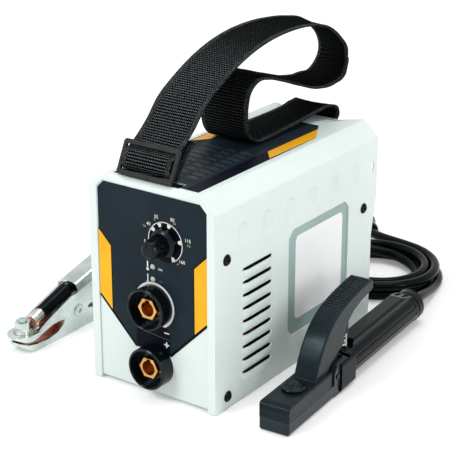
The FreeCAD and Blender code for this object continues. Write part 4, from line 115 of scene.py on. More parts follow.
class Finish:
    """A node material whose colour, roughness and relief are built up in layers."""

    def __init__(self, name, rgb, rough, metal=0.0, coat=0.0, specular=0.5):
        self.material = bpy.data.materials.new(name)
        self.material.use_nodes = True
        self.tree = self.material.node_tree
        self.shader = self.tree.nodes["Principled BSDF"]
        self.coords = self.tree.nodes.new("ShaderNodeTexCoord")
        self.relief = None
        for socket, value in (("Base Color", linear(rgb)), ("Roughness", rough), ("Metallic", metal),
                              ("Specular IOR Level", specular), ("Coat Weight", coat),
                              ("Coat Roughness", COAT_ROUGHNESS)):
            self.shader.inputs[socket].default_value = value

    def drive(self, socket, source):
        self.tree.links.new(source, self.shader.inputs[socket])
        return self

    def sheen_colour(self, rgb):
        """Colours the mirror part of the reflection."""
        self.shader.inputs["Specular Tint"].default_value = linear(rgb)

    def noise(self, scale, detail, stretch=None):
        place = self.coords.outputs["Object"]
        if stretch:
            mapping = add_node(self.tree, "ShaderNodeMapping", {"Vector": place, "Scale": stretch})
            place = mapping.outputs["Vector"]
        values = {"Vector": place, "Scale": scale, "Detail": detail}
        return add_node(self.tree, "ShaderNodeTexNoise", values).outputs["Fac"]

    def cells(self, wide, long, randomness):
        """Distance from the middle of cells laid out in ranks on the UV map, by their size in millimetres."""
        ranks = add_node(self.tree, "ShaderNodeMapping", {
            "Vector": self.coords.outputs["UV"], "Scale": (STRAP_WIDTH / wide, STRAP_WIDTH / long, 1.0)})
        values = {"Vector": ranks.outputs["Vector"], "Scale": 1.0, "Randomness": randomness}
        return add_node(self.tree, "ShaderNodeTexVoronoi", values).outputs["Distance"]

    def ramp(self, field, stops):
        made = add_node(self.tree, "ShaderNodeValToRGB", {"Fac": field})
        band = made.color_ramp
        while len(band.elements) < len(stops):
            band.elements.new(0.5)
        for element, (place, colour) in zip(band.elements, stops):
            element.position = place
            element.color = colour
        return made.outputs["Color"]

    def mix(self, part, first, second):
        values = {"Factor": part, "A": first, "B": second}
        return add_node(self.tree, "ShaderNodeMix", values, data_type="RGBA").outputs["Result"]

    def tint(self, scale, dark, light, detail=4.0):
        """Clouds the base colour between two close ones."""
        field = self.noise(scale, detail)
        return self.drive("Base Color", self.ramp(field, [(0.35, linear(dark)), (0.65, linear(light))]))

    def sheen_of(self, scale, low, high, detail=3.0):
        """Varies the roughness between two values."""
        values = {"Value": self.noise(scale, detail), "From Min": 0.3, "From Max": 0.7,
                  "To Min": low, "To Max": high}
        return self.drive("Roughness", add_node(self.tree, "ShaderNodeMapRange", values).outputs["Result"])

    def shaped_by(self, made):
        self.relief = made.outputs["Normal"]
        return self.drive("Normal", self.relief)

    def soft_edges(self, radius):
        return self.shaped_by(add_node(self.tree, "ShaderNodeBevel", {"Radius": radius}, samples=4))

    def bump(self, field, strength, depth):
        values = {"Height": field, "Strength": strength, "Distance": depth}
        if self.relief:
            values["Normal"] = self.relief
        return self.shaped_by(add_node(self.tree, "ShaderNodeBump", values))

    def grain(self, scale, strength, depth, detail=3.0, stretch=None):
        return self.bump(self.noise(scale, detail, stretch), strength, depth)

    def worn(self, rgb, start, stop):
        """Lightens the clouded base colour along sharp outer edges."""
        geometry = self.tree.nodes.new("ShaderNodeNewGeometry")
        edges = self.ramp(geometry.outputs["Pointiness"], [(start, BLACK), (stop, WHITE)])
        base = self.shader.inputs["Base Color"].links[0].from_socket
        return self.drive("Base Color", self.mix(edges, base, linear(rgb)))


# Paint, films and inks
paint = Finish("case_paint", (225, 237, 234), 0.42, coat=0.05).soft_edges(0.0006)
paint.tint(9.0, (223, 236, 232), (229, 240, 237)).sheen_of(60.0, 0.38, 0.5).grain(1500.0, 0.10, 0.00006)
slate = Finish("slate_film", (31, 42, 50), 0.5, specular=0.06)
slate.tint(24.0, (29, 40, 48), (34, 45, 53)).sheen_of(90.0, 0.44, 0.56).grain(2200.0, 0.08, 0.00004)
navy = Finish("navy_print", (7, 11, 24), 0.5, specular=0.06)
navy.tint(30.0, (5, 9, 22), (9, 13, 26)).grain(2200.0, 0.06, 0.00004)
amber = Finish("amber_print", (250, 182, 24), 0.4, specular=0.2)
amber.tint(30.0, (248, 178, 18), (253, 187, 30)).grain(2200.0, 0.06, 0.00004)
ink = Finish("black_print", (6, 7, 9), 0.5, specular=0.06)
ink.tint(40.0, (5, 6, 8), (9, 10, 12)).grain(2200.0, 0.05, 0.00004)
white_ink = Finish("white_print", (238, 240, 240), 0.36).tint(60.0, (232, 235, 235), (244, 245, 245))
faint_ink = Finish("grey_print", (92, 104, 112), 0.4).tint(160.0, (78, 90, 98), (106, 117, 124))
lime_ink = Finish("lime_print", (196, 200, 52), 0.4).tint(160.0, (184, 190, 44), (206, 210, 60))
# A greenish grey darker than the casing paint: painted shade of the casing colour inside the badge's pressed
# recess.
recess_shade = Finish("badge_recess_shade", (150, 176, 171), 0.36, coat=0.1)
recess_shade.tint(20.0, (145, 171, 166), (155, 181, 176)).grain(1800.0, 0.06, 0.00005)
badge_white = Finish("badge_face", (242, 244, 244), 0.26, coat=0.3)
badge_white.tint(15.0, (242, 245, 245), (249, 250, 250)).grain(1200.0, 0.04, 0.00005)

# Plastics and rubbers
gloss_black = Finish("gloss_black_plastic", (9, 12, 14), 0.16, specular=0.3).soft_edges(0.0008)
gloss_black.tint(50.0, (8, 10, 12), (13, 16, 18)).sheen_of(140.0, 0.12, 0.22).grain(900.0, 0.05, 0.00006)
satin_black = Finish("satin_black_plastic", (14, 15, 17), 0.36, specular=0.16).soft_edges(0.0004)
satin_black.tint(60.0, (11, 12, 14), (18, 19, 21)).sheen_of(160.0, 0.36, 0.5).grain(2600.0, 0.18, 0.00006)
matt_black = Finish("matt_black_plastic", (16, 17, 19), 0.6, specular=0.15)
matt_black.tint(60.0, (13, 14, 16), (21, 22, 24)).grain(2600.0, 0.2, 0.00006)
# The black plastic's colour is lifted to a bluish grey, and the lift is a painted reflection of the pale
# surroundings.
tool_black = Finish("tool_black_plastic", (25, 33, 37), 0.2, specular=0.28).soft_edges(0.0007)
tool_black.tint(45.0, (21, 29, 33), (30, 38, 42)).sheen_of(70.0, 0.12, 0.22).grain(700.0, 0.06, 0.0001)
tool_black.worn((52, 62, 66), 0.57, 0.69)
# Lifted to a bluish grey like the holder body's, as a painted reflection of the pale surroundings on black
# plastic.
lever_black = Finish("lever_plastic", (19, 26, 30), 0.26, specular=0.17).soft_edges(0.0016)
lever_black.tint(45.0, (16, 23, 26), (23, 30, 34)).sheen_of(70.0, 0.2, 0.32).grain(700.0, 0.06, 0.0001)
knob_black = Finish("knob_plastic", (8, 11, 13), 0.2, specular=0.22).soft_edges(0.0004)
knob_black.tint(80.0, (6, 9, 11), (11, 14, 16)).sheen_of(160.0, 0.16, 0.26).grain(1800.0, 0.08, 0.00005)
buckle_black = Finish("buckle_plastic", (20, 22, 23), 0.4, specular=0.3).soft_edges(0.0011)
buckle_black.tint(80.0, (15, 17, 18), (28, 30, 31)).sheen_of(120.0, 0.36, 0.56).grain(1500.0, 0.4, 0.00012)
grip_rubber = Finish("grip_rubber", (7, 9, 10), 0.16, specular=0.1).soft_edges(0.0004)
grip_rubber.tint(70.0, (5, 5, 6), (11, 12, 13)).sheen_of(110.0, 0.12, 0.24).grain(1600.0, 0.12, 0.00008)
cord_rubber = Finish("cord_rubber", (8, 9, 10), 0.18, specular=0.08)
cord_rubber.tint(50.0, (5, 6, 6), (11, 13, 14)).sheen_of(80.0, 0.14, 0.22).grain(1300.0, 0.05, 0.00006)
foot_rubber = Finish("foot_rubber", (18, 18, 18), 0.7)
foot_rubber.tint(60.0, (14, 14, 14), (24, 24, 24)).grain(1800.0, 0.25, 0.0001)
lens = Finish("lamp_lens", (228, 236, 216), 0.18, coat=0.4)
lens.tint(700.0, (214, 224, 196), (240, 246, 230)).grain(1200.0, 0.1, 0.00005)
lens.shader.inputs["Transmission Weight"].default_value = 0.35
for finish in (gloss_black, satin_black, tool_black, lever_black, grip_rubber, cord_rubber, knob_black):
    finish.sheen_colour(COOL_SHEEN)

# Metals
zinc = Finish("zinc_steel", (196, 206, 203), 0.2, metal=1.0).soft_edges(0.0005)
zinc.tint(38.0, (176, 188, 186), (208, 217, 213), 5.0).sheen_of(55.0, 0.1, 0.26, 4.0)
zinc.grain(500.0, 0.08, 0.0001)
steel = Finish("turned_steel", (190, 192, 194), 0.28, metal=1.0).soft_edges(0.0002)
steel.tint(120.0, (172, 174, 177), (204, 206, 208)).sheen_of(200.0, 0.2, 0.38).grain(1400.0, 0.05, 0.00004)
dark_screw = Finish("blackened_steel", (26, 27, 29), 0.2, metal=1.0).soft_edges(0.0003)
dark_screw.tint(160.0, (17, 18, 20), (38, 39, 41)).sheen_of(200.0, 0.14, 0.28).grain(1600.0, 0.08, 0.00005)
brass = Finish("turned_brass", (206, 158, 88), 0.26, metal=1.0).soft_edges(0.0003)
brass.tint(90.0, (188, 140, 72), (220, 172, 102)).sheen_of(160.0, 0.2, 0.38)
brass.grain(1100.0, 0.08, 0.00006, 2.0, (1, 9, 1))
copper = Finish("copper", (176, 106, 82), 0.28, metal=1.0).soft_edges(0.0003)
copper.tint(70.0, (132, 72, 54), (196, 130, 106), 5.0).sheen_of(120.0, 0.22, 0.42).grain(900.0, 0.08, 0.00006)
tin = Finish("tinned_copper", (216, 214, 208), 0.2, metal=1.0).soft_edges(0.0003)
tin.tint(90.0, (196, 194, 188), (228, 226, 220)).sheen_of(120.0, 0.14, 0.28).grain(900.0, 0.06, 0.00006)
aluminium = Finish("sink_aluminium", (196, 198, 200), 0.36, metal=1.0)
aluminium.tint(60.0, (184, 186, 188), (206, 208, 210)).grain(600.0, 0.12, 0.00008, 2.0, (1, 12, 1))

# Boards, cores and windings
enamel = Finish("enamelled_copper", (150, 74, 38), 0.32, metal=0.7)
enamel.tint(300.0, (128, 58, 28), (172, 92, 50)).grain(700.0, 0.3, 0.0003, 1.0, (1, 1, 12))
board = Finish("board_laminate", (22, 78, 48), 0.4, coat=0.3)
board.tint(260.0, (17, 66, 40), (30, 92, 58), 6.0).grain(900.0, 0.15, 0.00006)
ferrite = Finish("ferrite", (52, 53, 55), 0.6)
ferrite.tint(220.0, (42, 43, 45), (66, 67, 70)).grain(1200.0, 0.3, 0.0001)
sleeve_blue = Finish("capacitor_sleeve", (20, 30, 62), 0.3, coat=0.3)
sleeve_blue.tint(80.0, (16, 25, 54), (26, 37, 72)).grain(900.0, 0.08, 0.00008)

WEAR = (
    (paint, "cover base_chassis front_panel rear_panel"),
    (slate, "front_decal top_label"),
    (recess_shade, "badge_plates"),
    (gloss_black, "socket_collars holder_cap"),
    (satin_black, "socket_nuts mains_switch_housing mains_switch_rocker cable_gland_body cable_gland_nut"
                  " board_standoffs"),
    (matt_black, "potentiometer fan_frame fan_rotor power_transistors"),
    (tool_black, "holder_body"),
    (lever_black, "holder_lever"),
    (knob_black, "current_knob"),
    (buckle_black, "strap_slider"),
    (grip_rubber, "holder_handle plug_bodies"),
    (cord_rubber, "clamp_cable_sleeve"),
    (foot_rubber, "rubber_feet"),
    (lens, "indicator_lenses"),
    (zinc, "fan_guard strap_anchor_bars holder_spring clamp_upper_jaw clamp_lower_jaw clamp_pivot_rivet"
           " clamp_bolt clamp_nut"),
    (steel, "potentiometer_shaft potentiometer_nut clamp_spring"),
    (dark_screw, "cover_screws fan_screws holder_pivot_pin"),
    (brass, "socket_contacts plug_pins"),
    (copper, "output_busbars holder_lower_contact holder_upper_contact clamp_upper_contact"
             " clamp_lower_contact"),
    (tin, "clamp_cable_lug"),
    (aluminium, "heat_sinks"),
    (enamel, "transformer_winding output_choke"),
    (board, "power_board control_board"),
    (ferrite, "transformer_core"),
    (sleeve_blue, "bus_capacitors"),
)
for finish, names in WEAR:
    for name in names.split():
        if not nodes[name].material_slots:
            nodes[name].data.materials.append(finish.material)
        for place in nodes[name].material_slots:
            place.material = finish.material


# Pieces
def piece(name, vertices, faces, finish, body, smooth=False):
    mesh = bpy.data.meshes.new(name)
    mesh.from_pydata([tuple(v) for v in vertices], [], faces)
    mesh.validate()
    mesh.update()
    made = bpy.data.objects.new(name, mesh)
    scene.collection.objects.link(made)
    mesh.materials.append(finish.material)
    if smooth:
        mesh.polygons.foreach_set("use_smooth", [True] * len(mesh.polygons))
    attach(made, body)
    return made


def outward(made):
    """Turns all faces outwards, so that thin plates shade and export as closed solids."""
    work = bmesh.new()
    work.from_mesh(made.data)
    bmesh.ops.recalc_face_normals(work, faces=work.faces)
    work.to_mesh(made.data)
    work.free()
    return made


# The two leads, whose centre lines repeat the routes in the part's source
COIL_RADIUS = 64.5
COIL_SWAY = 0.8
STRAND = 10.2
TUCK = 2.7
PER_TURN = 16
WOUND_IN = 2.0
CLIMB = 0.5


def cord_piece(name, points, node):
    data = bpy.data.curves.new(name, "CURVE")
    data.dimensions = "3D"
    data.bevel_depth = LEAD / 2000
    data.bevel_resolution = 6
    data.resolution_u = 10
    data.use_fill_caps = True
    spline = data.splines.new("NURBS")
    spline.points.add(len(points) - 1)
    for place, point in zip(spline.points, points):
        place.co = (*point, 1.0)
    spline.order_u = 3
    spline.use_endpoint_u = True
    data.materials.append(cord_rubber.material)
    made = bpy.data.objects.new(name, data)
    scene.collection.objects.link(made)
    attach(made, "set")
    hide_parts(node)
    return made


def coil_points(total, x, y, start, sense, phase):
    """Control points of loose turns: wound inwards on the floor, half a turn up, then outwards on top."""
    points = []
    # The spline cuts inside its control points, so they stand out by this much.
    stand_out = 1 / (0.75 + 0.25 * math.cos(2 * math.pi / PER_TURN))
    for k in range(int(round(total * PER_TURN)) + 1):
        turns = k / PER_TURN
        if turns <= WOUND_IN:
            radius = COIL_RADIUS - STRAND * turns
            height = ON_FLOOR
        elif turns <= WOUND_IN + CLIMB:
            part = (turns - WOUND_IN) / CLIMB
            radius = COIL_RADIUS - STRAND * WOUND_IN - TUCK * math.sin(math.pi * part)
            height = ON_FLOOR + STRAND * (0.5 - 0.5 * math.cos(math.pi * part))
        else:
            radius = COIL_RADIUS - STRAND * WOUND_IN + STRAND * (turns - WOUND_IN - CLIMB)
            height = ON_FLOOR + STRAND
        angle = math.radians(start) + sense * 2 * math.pi * turns
        radius = radius * stand_out + COIL_SWAY * math.cos(2 * angle + phase)
        points.append(at(x + radius * math.cos(angle), y + radius * math.sin(angle), height))
    return points


def on_holder(along, z=HOLDER[2]):
    """A point on the holder's axis, by its distance from the front end."""
    return at(HOLDER[0] - math.sin(HOLDER_TURN) * along, HOLDER[1] + math.cos(HOLDER_TURN) * along, z)


def ahead(point, direction, reach):
    return point + Vector(direction).normalized() * (reach / 1000)


electrode_plug = at(-26.0, 409.0, 12.4)
electrode_heading = (-0.75, 0.66, 0)
electrode_points = [on_holder(126), on_holder(200), on_holder(258), on_holder(275, 14.6)]
electrode_points += coil_points(4.25, 24.0, 329.0, 0.0, 1, 0.4)
electrode_points += [ahead(electrode_plug, electrode_heading, reach) for reach in (-12, 6, 24)]
electrode_lead = cord_piece("lead_electrode", electrode_points, "electrode_lead")

earth_plug = at(-128.0, 397.5, 12.4)
earth_heading = (1.0, 0.02, 0)
earth_points = [at(-150, 55, 37.5), at(-150, 67, 37.5), at(-150, 104, 33.8), at(-149.9, 138.5, 26.9),
                at(-149.4, 179, ON_FLOOR), at(-149, 204, ON_FLOOR), at(-149.3, 226, ON_FLOOR),
                at(-148.2, 265, ON_FLOOR)]
earth_points += coil_points(4.5, -170.0, 332.0, 270.0, -1, 1.0)[1:]
earth_points += [ahead(earth_plug, earth_heading, reach) for reach in (-14, 6, 24)]
earth_lead = cord_piece("lead_earth", earth_points, "earth_lead")


# Carrying strap: a ribbon between its near and far edges, with raised ribs and corded edges
RIB = 2.6
STEPS_PER_RIB = 6
RIB_FOOT = 0.40
RIB_RISE = 0.50
# Places across the webbing's corded edge, from the outside in, with the height of the face at each.
CORDED_EDGE = [(25.0, 0.30), (24.8, 0.66), (24.3, 0.90), (23.8, 0.98), (23.2, 0.88),
               (22.7, 0.50), (22.2, 0.86), (21.6, 0.98), (21.0, 0.86), (20.5, 0.46)]
RIBBED = [-20.0] + [-18.2 + 2.8 * k for k in range(14)] + [20.0]


def level(y, z, near=15.0, far=-35.0):
    """A station where the webbing lies straight across."""
    return (near, y, z), (far, y, z)


def on_slider(u, n):
    """The y and z of a place along and above the leaning slider."""
    return (SLIDER[0] + u * math.sin(SLIDER_LEAN) - n * math.cos(SLIDER_LEAN),
            SLIDER[1] + u * math.cos(SLIDER_LEAN) + n * math.sin(SLIDER_LEAN))


# Down from the free end, round the front bar and through the slider
stations = [level(*p) for p in (
    (42.0, 217.5), (32.0, 209.0), (23.0, 198.5), (17.0, 187.0), (15.3, 177.3), (12.0, 175.0), (8.7, 177.3),
    (8.5, 184.0), (8.6, 191.0))]
stations += [level(*on_slider(*p), 14.6, -35.4) for p in (
    (-9.5, -2.5), (-4.6, 2.3), (0.0, 3.0), (4.6, 2.3), (9.5, -2.6))]
# Up over the top
stations += [level(*p) for p in (
    (29.0, 219.0), (42.0, 229.5), (56.5, 244.3), (80.0, 258.0), (105.0, 269.0), (130.0, 276.5),
    (157.0, 281.0), (189.0, 282.3))]
# Round the rear bend and back under itself
stations += [
    ((14.6, 216.0, 280.3), (-34.6, 216.0, 280.6)), ((13.6, 244.0, 273.8), (-33.6, 244.0, 276.8)),
    ((13.0, 266.0, 260.5), (-33.0, 275.0, 268.4)), ((13.0, 280.0, 246.0), (-33.0, 299.0, 249.5)),
    ((13.0, 281.5, 233.0), (-33.0, 304.0, 235.0)), ((13.4, 267.0, 220.2), (-32.6, 295.0, 223.0)),
    ((14.0, 246.0, 217.7), (-33.0, 273.0, 218.0)), ((14.6, 222.0, 221.4), (-34.0, 246.0, 219.8)),
    ((15.0, 194.0, 231.0), (-35.0, 211.0, 229.5)), ((15.0, 171.0, 239.6), (-35.0, 181.0, 239.5)),
    ((15.0, 151.0, 246.0), (-35.0, 156.0, 246.6)), ((15.0, 134.0, 247.8), (-35.0, 135.0, 248.0))]
# Down to the roof, along it and round the rear bar
stations += [level(122.0, 241.0), level(117.5, 229.0), level(117.0, 215.0)]
stations += [
    ((15.0, 121.0, 202.6), (-35.0, 121.0, 202.0)), ((15.2, 132.0, 194.4), (-34.8, 131.0, 193.4)),
    ((15.6, 152.0, 193.6), (-34.2, 152.0, 192.0)), ((16.4, 179.0, 195.2), (-33.2, 181.0, 191.6)),
    ((17.4, 207.0, 197.2), (-32.0, 211.0, 191.6)), ((18.0, 230.0, 199.2), (-31.0, 238.0, 192.6)),
    ((18.0, 246.0, 199.2), (-31.0, 254.0, 194.0)), ((18.0, 256.5, 195.6), (-31.0, 265.0, 192.0)),
    ((17.8, 261.0, 188.0), (-31.4, 269.0, 185.0)), ((17.2, 257.0, 179.0), (-32.4, 262.0, 176.5)),
    ((15.6, 249.5, 172.2), (-34.4, 250.5, 171.5))]
stations += [level(245.5, 170.4), level(242.3, 174.0), level(242.3, 179.0), level(245.0, 182.5)]


def catmull(points, step):
    """Points along a centripetal curve through the given ones, about step apart."""
    fine = []
    count = len(points)
    for k in range(count - 1):
        p0 = points[k - 1] if k else points[0] * 2 - points[1]
        p1, p2 = points[k], points[k + 1]
        p3 = points[k + 2] if k + 2 < count else points[-1] * 2 - points[-2]
        t0 = 0.0
        t1 = t0 + max((p1 - p0).length, 1e-6) ** 0.5
        t2 = t1 + max((p2 - p1).length, 1e-6) ** 0.5
        t3 = t2 + max((p3 - p2).length, 1e-6) ** 0.5
        parts = max(1, int(math.ceil((p2 - p1).length / step)))
        for j in range(parts):
            t = t1 + (t2 - t1) * j / parts
            a1 = p0 * ((t1 - t) / (t1 - t0)) + p1 * ((t - t0) / (t1 - t0))
            a2 = p1 * ((t2 - t) / (t2 - t1)) + p2 * ((t - t1) / (t2 - t1))
            a3 = p2 * ((t3 - t) / (t3 - t2)) + p3 * ((t - t2) / (t3 - t2))
            b1 = a1 * ((t2 - t) / (t2 - t0)) + a2 * ((t - t0) / (t2 - t0))
            b2 = a2 * ((t3 - t) / (t3 - t1)) + a3 * ((t - t1) / (t3 - t1))
            fine.append(b1 * ((t2 - t) / (t2 - t1)) + b2 * ((t - t1) / (t2 - t1)))
    fine.append(points[-1])
    return fine


def resample(near, far, step):
    """Both edges again at an even spacing along the middle line, and that line's length."""
    middle = [(a + b) / 2 for a, b in zip(near, far)]
    run = [0.0]
    for a, b in zip(middle, middle[1:]):
        run.append(run[-1] + (b - a).length)
    count = int(run[-1] / step)
    out = []
    k = 0
    for j in range(count + 1):
        want = run[-1] * j / count
        while k < len(run) - 2 and run[k + 1] < want:
            k += 1
        part = (want - run[k]) / max(run[k + 1] - run[k], 1e-9)
        out.append((near[k].lerp(near[k + 1], part), far[k].lerp(far[k + 1], part)))
    return out, run[-1]


def ribbon(edges, length):
    """The webbing's vertices and faces round each section, with each vertex's place on the flat webbing."""
    across = [(-a, height) for a, height in CORDED_EDGE]
    across += [(a, None) for a in RIBBED]
    across += reversed(CORDED_EDGE)
    profile = [(a, height, 1) for a, height in across]
    profile += [(a, height, -1) for a, height in reversed(across)]
    width = len(profile)
    count = len(edges)
    vertices = []
    flat = []
    for j, (near, far) in enumerate(edges):
        before = edges[max(0, j - 1)]
        after = edges[min(count - 1, j + 1)]
        along = ((after[0] + after[1]) - (before[0] + before[1])).normalized()
        normal = along.cross((near - far).normalized()).normalized()
        cross = normal.cross(along).normalized()
        rib = RIB_FOOT + RIB_RISE * (0.5 - 0.5 * math.cos(2 * math.pi * j / STEPS_PER_RIB))
        for a, height, side in profile:
            offset = rib if height is None else height
            vertices.append(at(*((near + far) / 2 + cross * a + normal * offset * side)))
            flat.append((a, j * length / (count - 1)))
    faces = []
    for j in range(count - 1):
        for k in range(width):
            a, b = j * width + k, j * width + (k + 1) % width
            faces.append((a, a + width, b + width, b))
    faces.append(tuple(range(width)))
    faces.append(tuple(reversed(range((count - 1) * width, count * width))))
    return vertices, faces, flat


def webbing_finish(length):
    """Black webbing with painted highlights on the beads between its ribs, fading where less light falls
    along it, and lighter corded edges.
    """
    bead, bead_randomness = 1.75, 0.12
    twist_wide, twist_long, twist_randomness = 1.1, 1.3, 0.4
    # Millimetres from the free end, and how strongly the painted bead highlights show there, as light falls
    # along the strap.
    highlights_along = ((175, 1.0), (245, 0.2), (370, 0.05), (480, 0.30), (640, 0.40), (760, 0.2))
    cord_starts, cord_full = 0.405, 0.412
    made = Finish("woven_webbing", (5, 5, 6), 0.7, specular=0.01)
    beads = made.cells(bead, RIB, bead_randomness)
    made.bump(beads, 0.6, 0.0004)
    # Pale bead centres: painted highlights of the yarn, strong or faint along the strap by where light falls.
    bead_highlights = made.ramp(beads, [(0.0, linear((160, 168, 169))), (0.2, linear((78, 83, 85))),
                               (0.36, linear((3, 3, 4)))])
    place = add_node(made.tree, "ShaderNodeSeparateXYZ", {"Vector": made.coords.outputs["UV"]})
    along = add_node(made.tree, "ShaderNodeMath", {0: place.outputs["Y"], 1: STRAP_WIDTH / length},
                     operation="MULTIPLY")
    highlight_strength = made.ramp(along.outputs["Value"], [(y / length, (v, v, v, 1)) for y, v in highlights_along])
    middle = made.mix(highlight_strength, linear((5, 6, 6)), bead_highlights)
    twist = made.cells(twist_wide, twist_long, twist_randomness)
    corded = made.ramp(twist, [(0.0, linear((110, 117, 119))), (0.5, linear((26, 28, 29)))])
    off_middle = add_node(made.tree, "ShaderNodeMath", {0: place.outputs["X"]}, operation="ABSOLUTE")
    edge = made.ramp(off_middle.outputs["Value"], [(cord_starts, BLACK), (cord_full, WHITE)])
    return made.drive("Base Color", made.mix(edge, middle, corded))


dense = catmull([Vector((*near, *far)) for near, far in stations], 1.0)
edges, strap_length = resample([Vector(p[:3]) for p in dense], [Vector(p[3:]) for p in dense],
                               RIB / STEPS_PER_RIB)
print("strap length %.1f mm" % strap_length)
strap_vertices, strap_faces, strap_flat = ribbon(edges, strap_length)
webbing = webbing_finish(strap_length)
strap = piece("strap", strap_vertices, strap_faces, webbing, "set", smooth=True)
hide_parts("strap_webbing")
layer = strap.data.uv_layers.new(name="weave")
for loop in strap.data.loops:
    u, v = strap_flat[loop.vertex_index]
    layer.data[loop.index].uv = (u / STRAP_WIDTH, v / STRAP_WIDTH)


# Prints: flat shapes of ink a hair above what they are printed on
INK = 0.05
THIN_INK = 0.03
THICK_INK = 0.06
# Heights of the printed layers above the face, from the lowest up.
RING_LIFT = 0.004
LIFT = 0.01
PANEL_LIFT = 0.012
LINE_LIFT = 0.02
SCALE_LIFT = 0.045
ROOF_LINE_LIFT = 0.065
MARK_LIFT = 0.07

Band = namedtuple("Band", "inner outer closed")


def band_faces(start, rings, closed):
    faces = []
    for k in range(rings if closed else rings - 1):
        m = start + k * 4
        n = start + ((k + 1) % rings) * 4
        for i in range(4):
            faces.append((m + i, m + (i + 1) % 4, n + (i + 1) % 4, n + i))
    if not closed:
        end = start + (rings - 1) * 4
        faces.append((start + 3, start + 2, start + 1, start))
        faces.append((end, end + 1, end + 2, end + 3))
    return faces


def plate_faces(start, count):
    faces = [tuple(start + k for k in reversed(range(count))), tuple(start + count + k for k in range(count))]
    for k in range(count):
        n = (k + 1) % count
        faces.append((start + k, start + n, start + count + n, start + count + k))
    return faces


def lifted(shapes, place, low, high):
    """Closed thin plates from outlines and bands in a plane; place(u, v, w) gives the point."""
    vertices = []
    faces = []
    for shape in shapes:
        start = len(vertices)
        if isinstance(shape, Band):
            for a, b in zip(shape.inner, shape.outer):
                vertices.extend([place(*a, low), place(*b, low), place(*b, high), place(*a, high)])
            faces.extend(band_faces(start, len(shape.inner), shape.closed))
        else:
            vertices.extend([place(*p, low) for p in shape] + [place(*p, high) for p in shape])
            faces.extend(plate_faces(start, len(shape)))
    return vertices, faces


def on_front(x, z, lift):
    return at(x, DECAL_FACE - lift, z)


def on_panel(x, z, lift):
    return at(x, PANEL_FACE - lift, z)


def on_roof(x, y, lift):
    return at(x, y, ROOF_FACE + lift)


def on_dial(turn, radius):
    """A place on the dial, by degrees clockwise from the top."""
    return (KNOB[0] + radius * math.sin(math.radians(turn)), KNOB[1] + radius * math.cos(math.radians(turn)))


def arc(x, z, inner, outer, first, last, step=4.0):
    """A band about a centre, in degrees clockwise from the top."""
    closed = abs(last - first) >= 359.9
    count = max(2, int(abs(last - first) / step))
    angles = [math.radians(first + (last - first) * k / count) for k in range(count if closed else count + 1)]
    return Band([(x + inner * math.sin(a), z + inner * math.cos(a)) for a in angles],
                [(x + outer * math.sin(a), z + outer * math.cos(a)) for a in angles], closed)


def wedge(turn, inner=13.4, outer=DIAL_RING[1], spread=7.5, taper=0.62):
    """A mark of the dial that widens outwards."""
    return Band([on_dial(turn + s * spread * taper, inner) for s in (-1, 0, 1)],
                [on_dial(turn + s * spread, outer) for s in (-1, 0, 1)], False)


def stroke(points, thickness):
    """A mitred line as a band."""
    left, right = [], []
    for k, (x, z) in enumerate(points):
        ways = []
        if k:
            ways.append(Vector((x - points[k - 1][0], z - points[k - 1][1])).normalized())
        if k < len(points) - 1:
            ways.append(Vector((points[k + 1][0] - x, points[k + 1][1] - z)).normalized())
        way = sum(ways, Vector((0, 0))).normalized()
        side = Vector((-way.y, way.x))
        reach = thickness / 2 / max(0.3, side.dot(Vector((-ways[0].y, ways[0].x))))
        left.append((x + side.x * reach, z + side.y * reach))
        right.append((x - side.x * reach, z - side.y * reach))
    return Band(right, left, False)


def oblong(left, low, right, high):
    return [(left, low), (right, low), (right, high), (left, high)]


def plus(x, z, arm, half):
    """The outline of a plus sign, by its arm's length and half its thickness."""
    return [(x - arm, z - half), (x - half, z - half), (x - half, z - arm), (x + half, z - arm),
            (x + half, z - half), (x + arm, z - half), (x + arm, z + half), (x + half, z + half),
            (x + half, z + arm), (x - half, z + arm), (x - half, z + half), (x - arm, z + half)]


def both(points):
    """An outline on the right and its mirror image on the left."""
    return [points, [(-x, z) for x, z in reversed(points)]]


def print_on(name, shapes, finish, place, lift, thick=INK):
    vertices, faces = lifted(shapes, place, lift, lift + thick)
    return outward(piece(name, vertices, faces, finish, "set"))


# Front decal
front_bar = [(43.4, 126.6), (56.5, 139.5), (56.5, 79.5), (43.4, 66.9)]
print_on("front_bars", both(front_bar), amber, on_front, LIFT)
lines = [stroke([(s * 56.4, 140.4), (s * 43.1, 127.0), (s * 43.1, 66.5)], 1.0) for s in (-1, 1)]
lines += [stroke([(s * 56.4, 79.8), (s * 17.8, 41.2)], 2.2) for s in (-1, 1)]
print_on("front_lines", lines, ink, on_front, LINE_LIFT, thick=THICK_INK)
# A white line along the decal's top and sides: a painted highlight on the edge of the bezel.
bezel_highlight = [(-56.75, 140.8), (-56.75, 176.7), (-50.1, 183.7),
              (50.1, 183.7), (56.75, 176.7), (56.75, 140.8)]
print_on("bezel_edge_highlight", [stroke(bezel_highlight, 0.6)], white_ink, on_front, LINE_LIFT)
polarity_field = [(-17.9, 41.2), (17.9, 41.2), (17.9, 62.6), (14.5, 66.5), (-14.5, 66.5), (-17.9, 62.6)]
print_on("polarity_panel", [polarity_field], navy, on_front, PANEL_LIFT)
print_on("polarity_marks", [oblong(11.8, 61.0, 17.0, 62.2), plus(14.2, 50.8, 2.6, 0.6)], white_ink, on_front,
         MARK_LIFT, thick=THIN_INK)
print_on("polarity_line", [stroke([(-17.6, 59.0), (17.6, 55.6)], 0.35)], faint_ink, on_front, MARK_LIFT,
         thick=THIN_INK)
print_on("dial_ring", [arc(*KNOB, *DIAL_RING, 0, 360)], ink, on_front, RING_LIFT, thick=THIN_INK)
scale = [arc(*KNOB, 16.9, 17.6, -100, 150)] + [wedge(turn) for turn in DIAL_MARKS]
print_on("dial_scale", scale, white_ink, on_front, SCALE_LIFT)
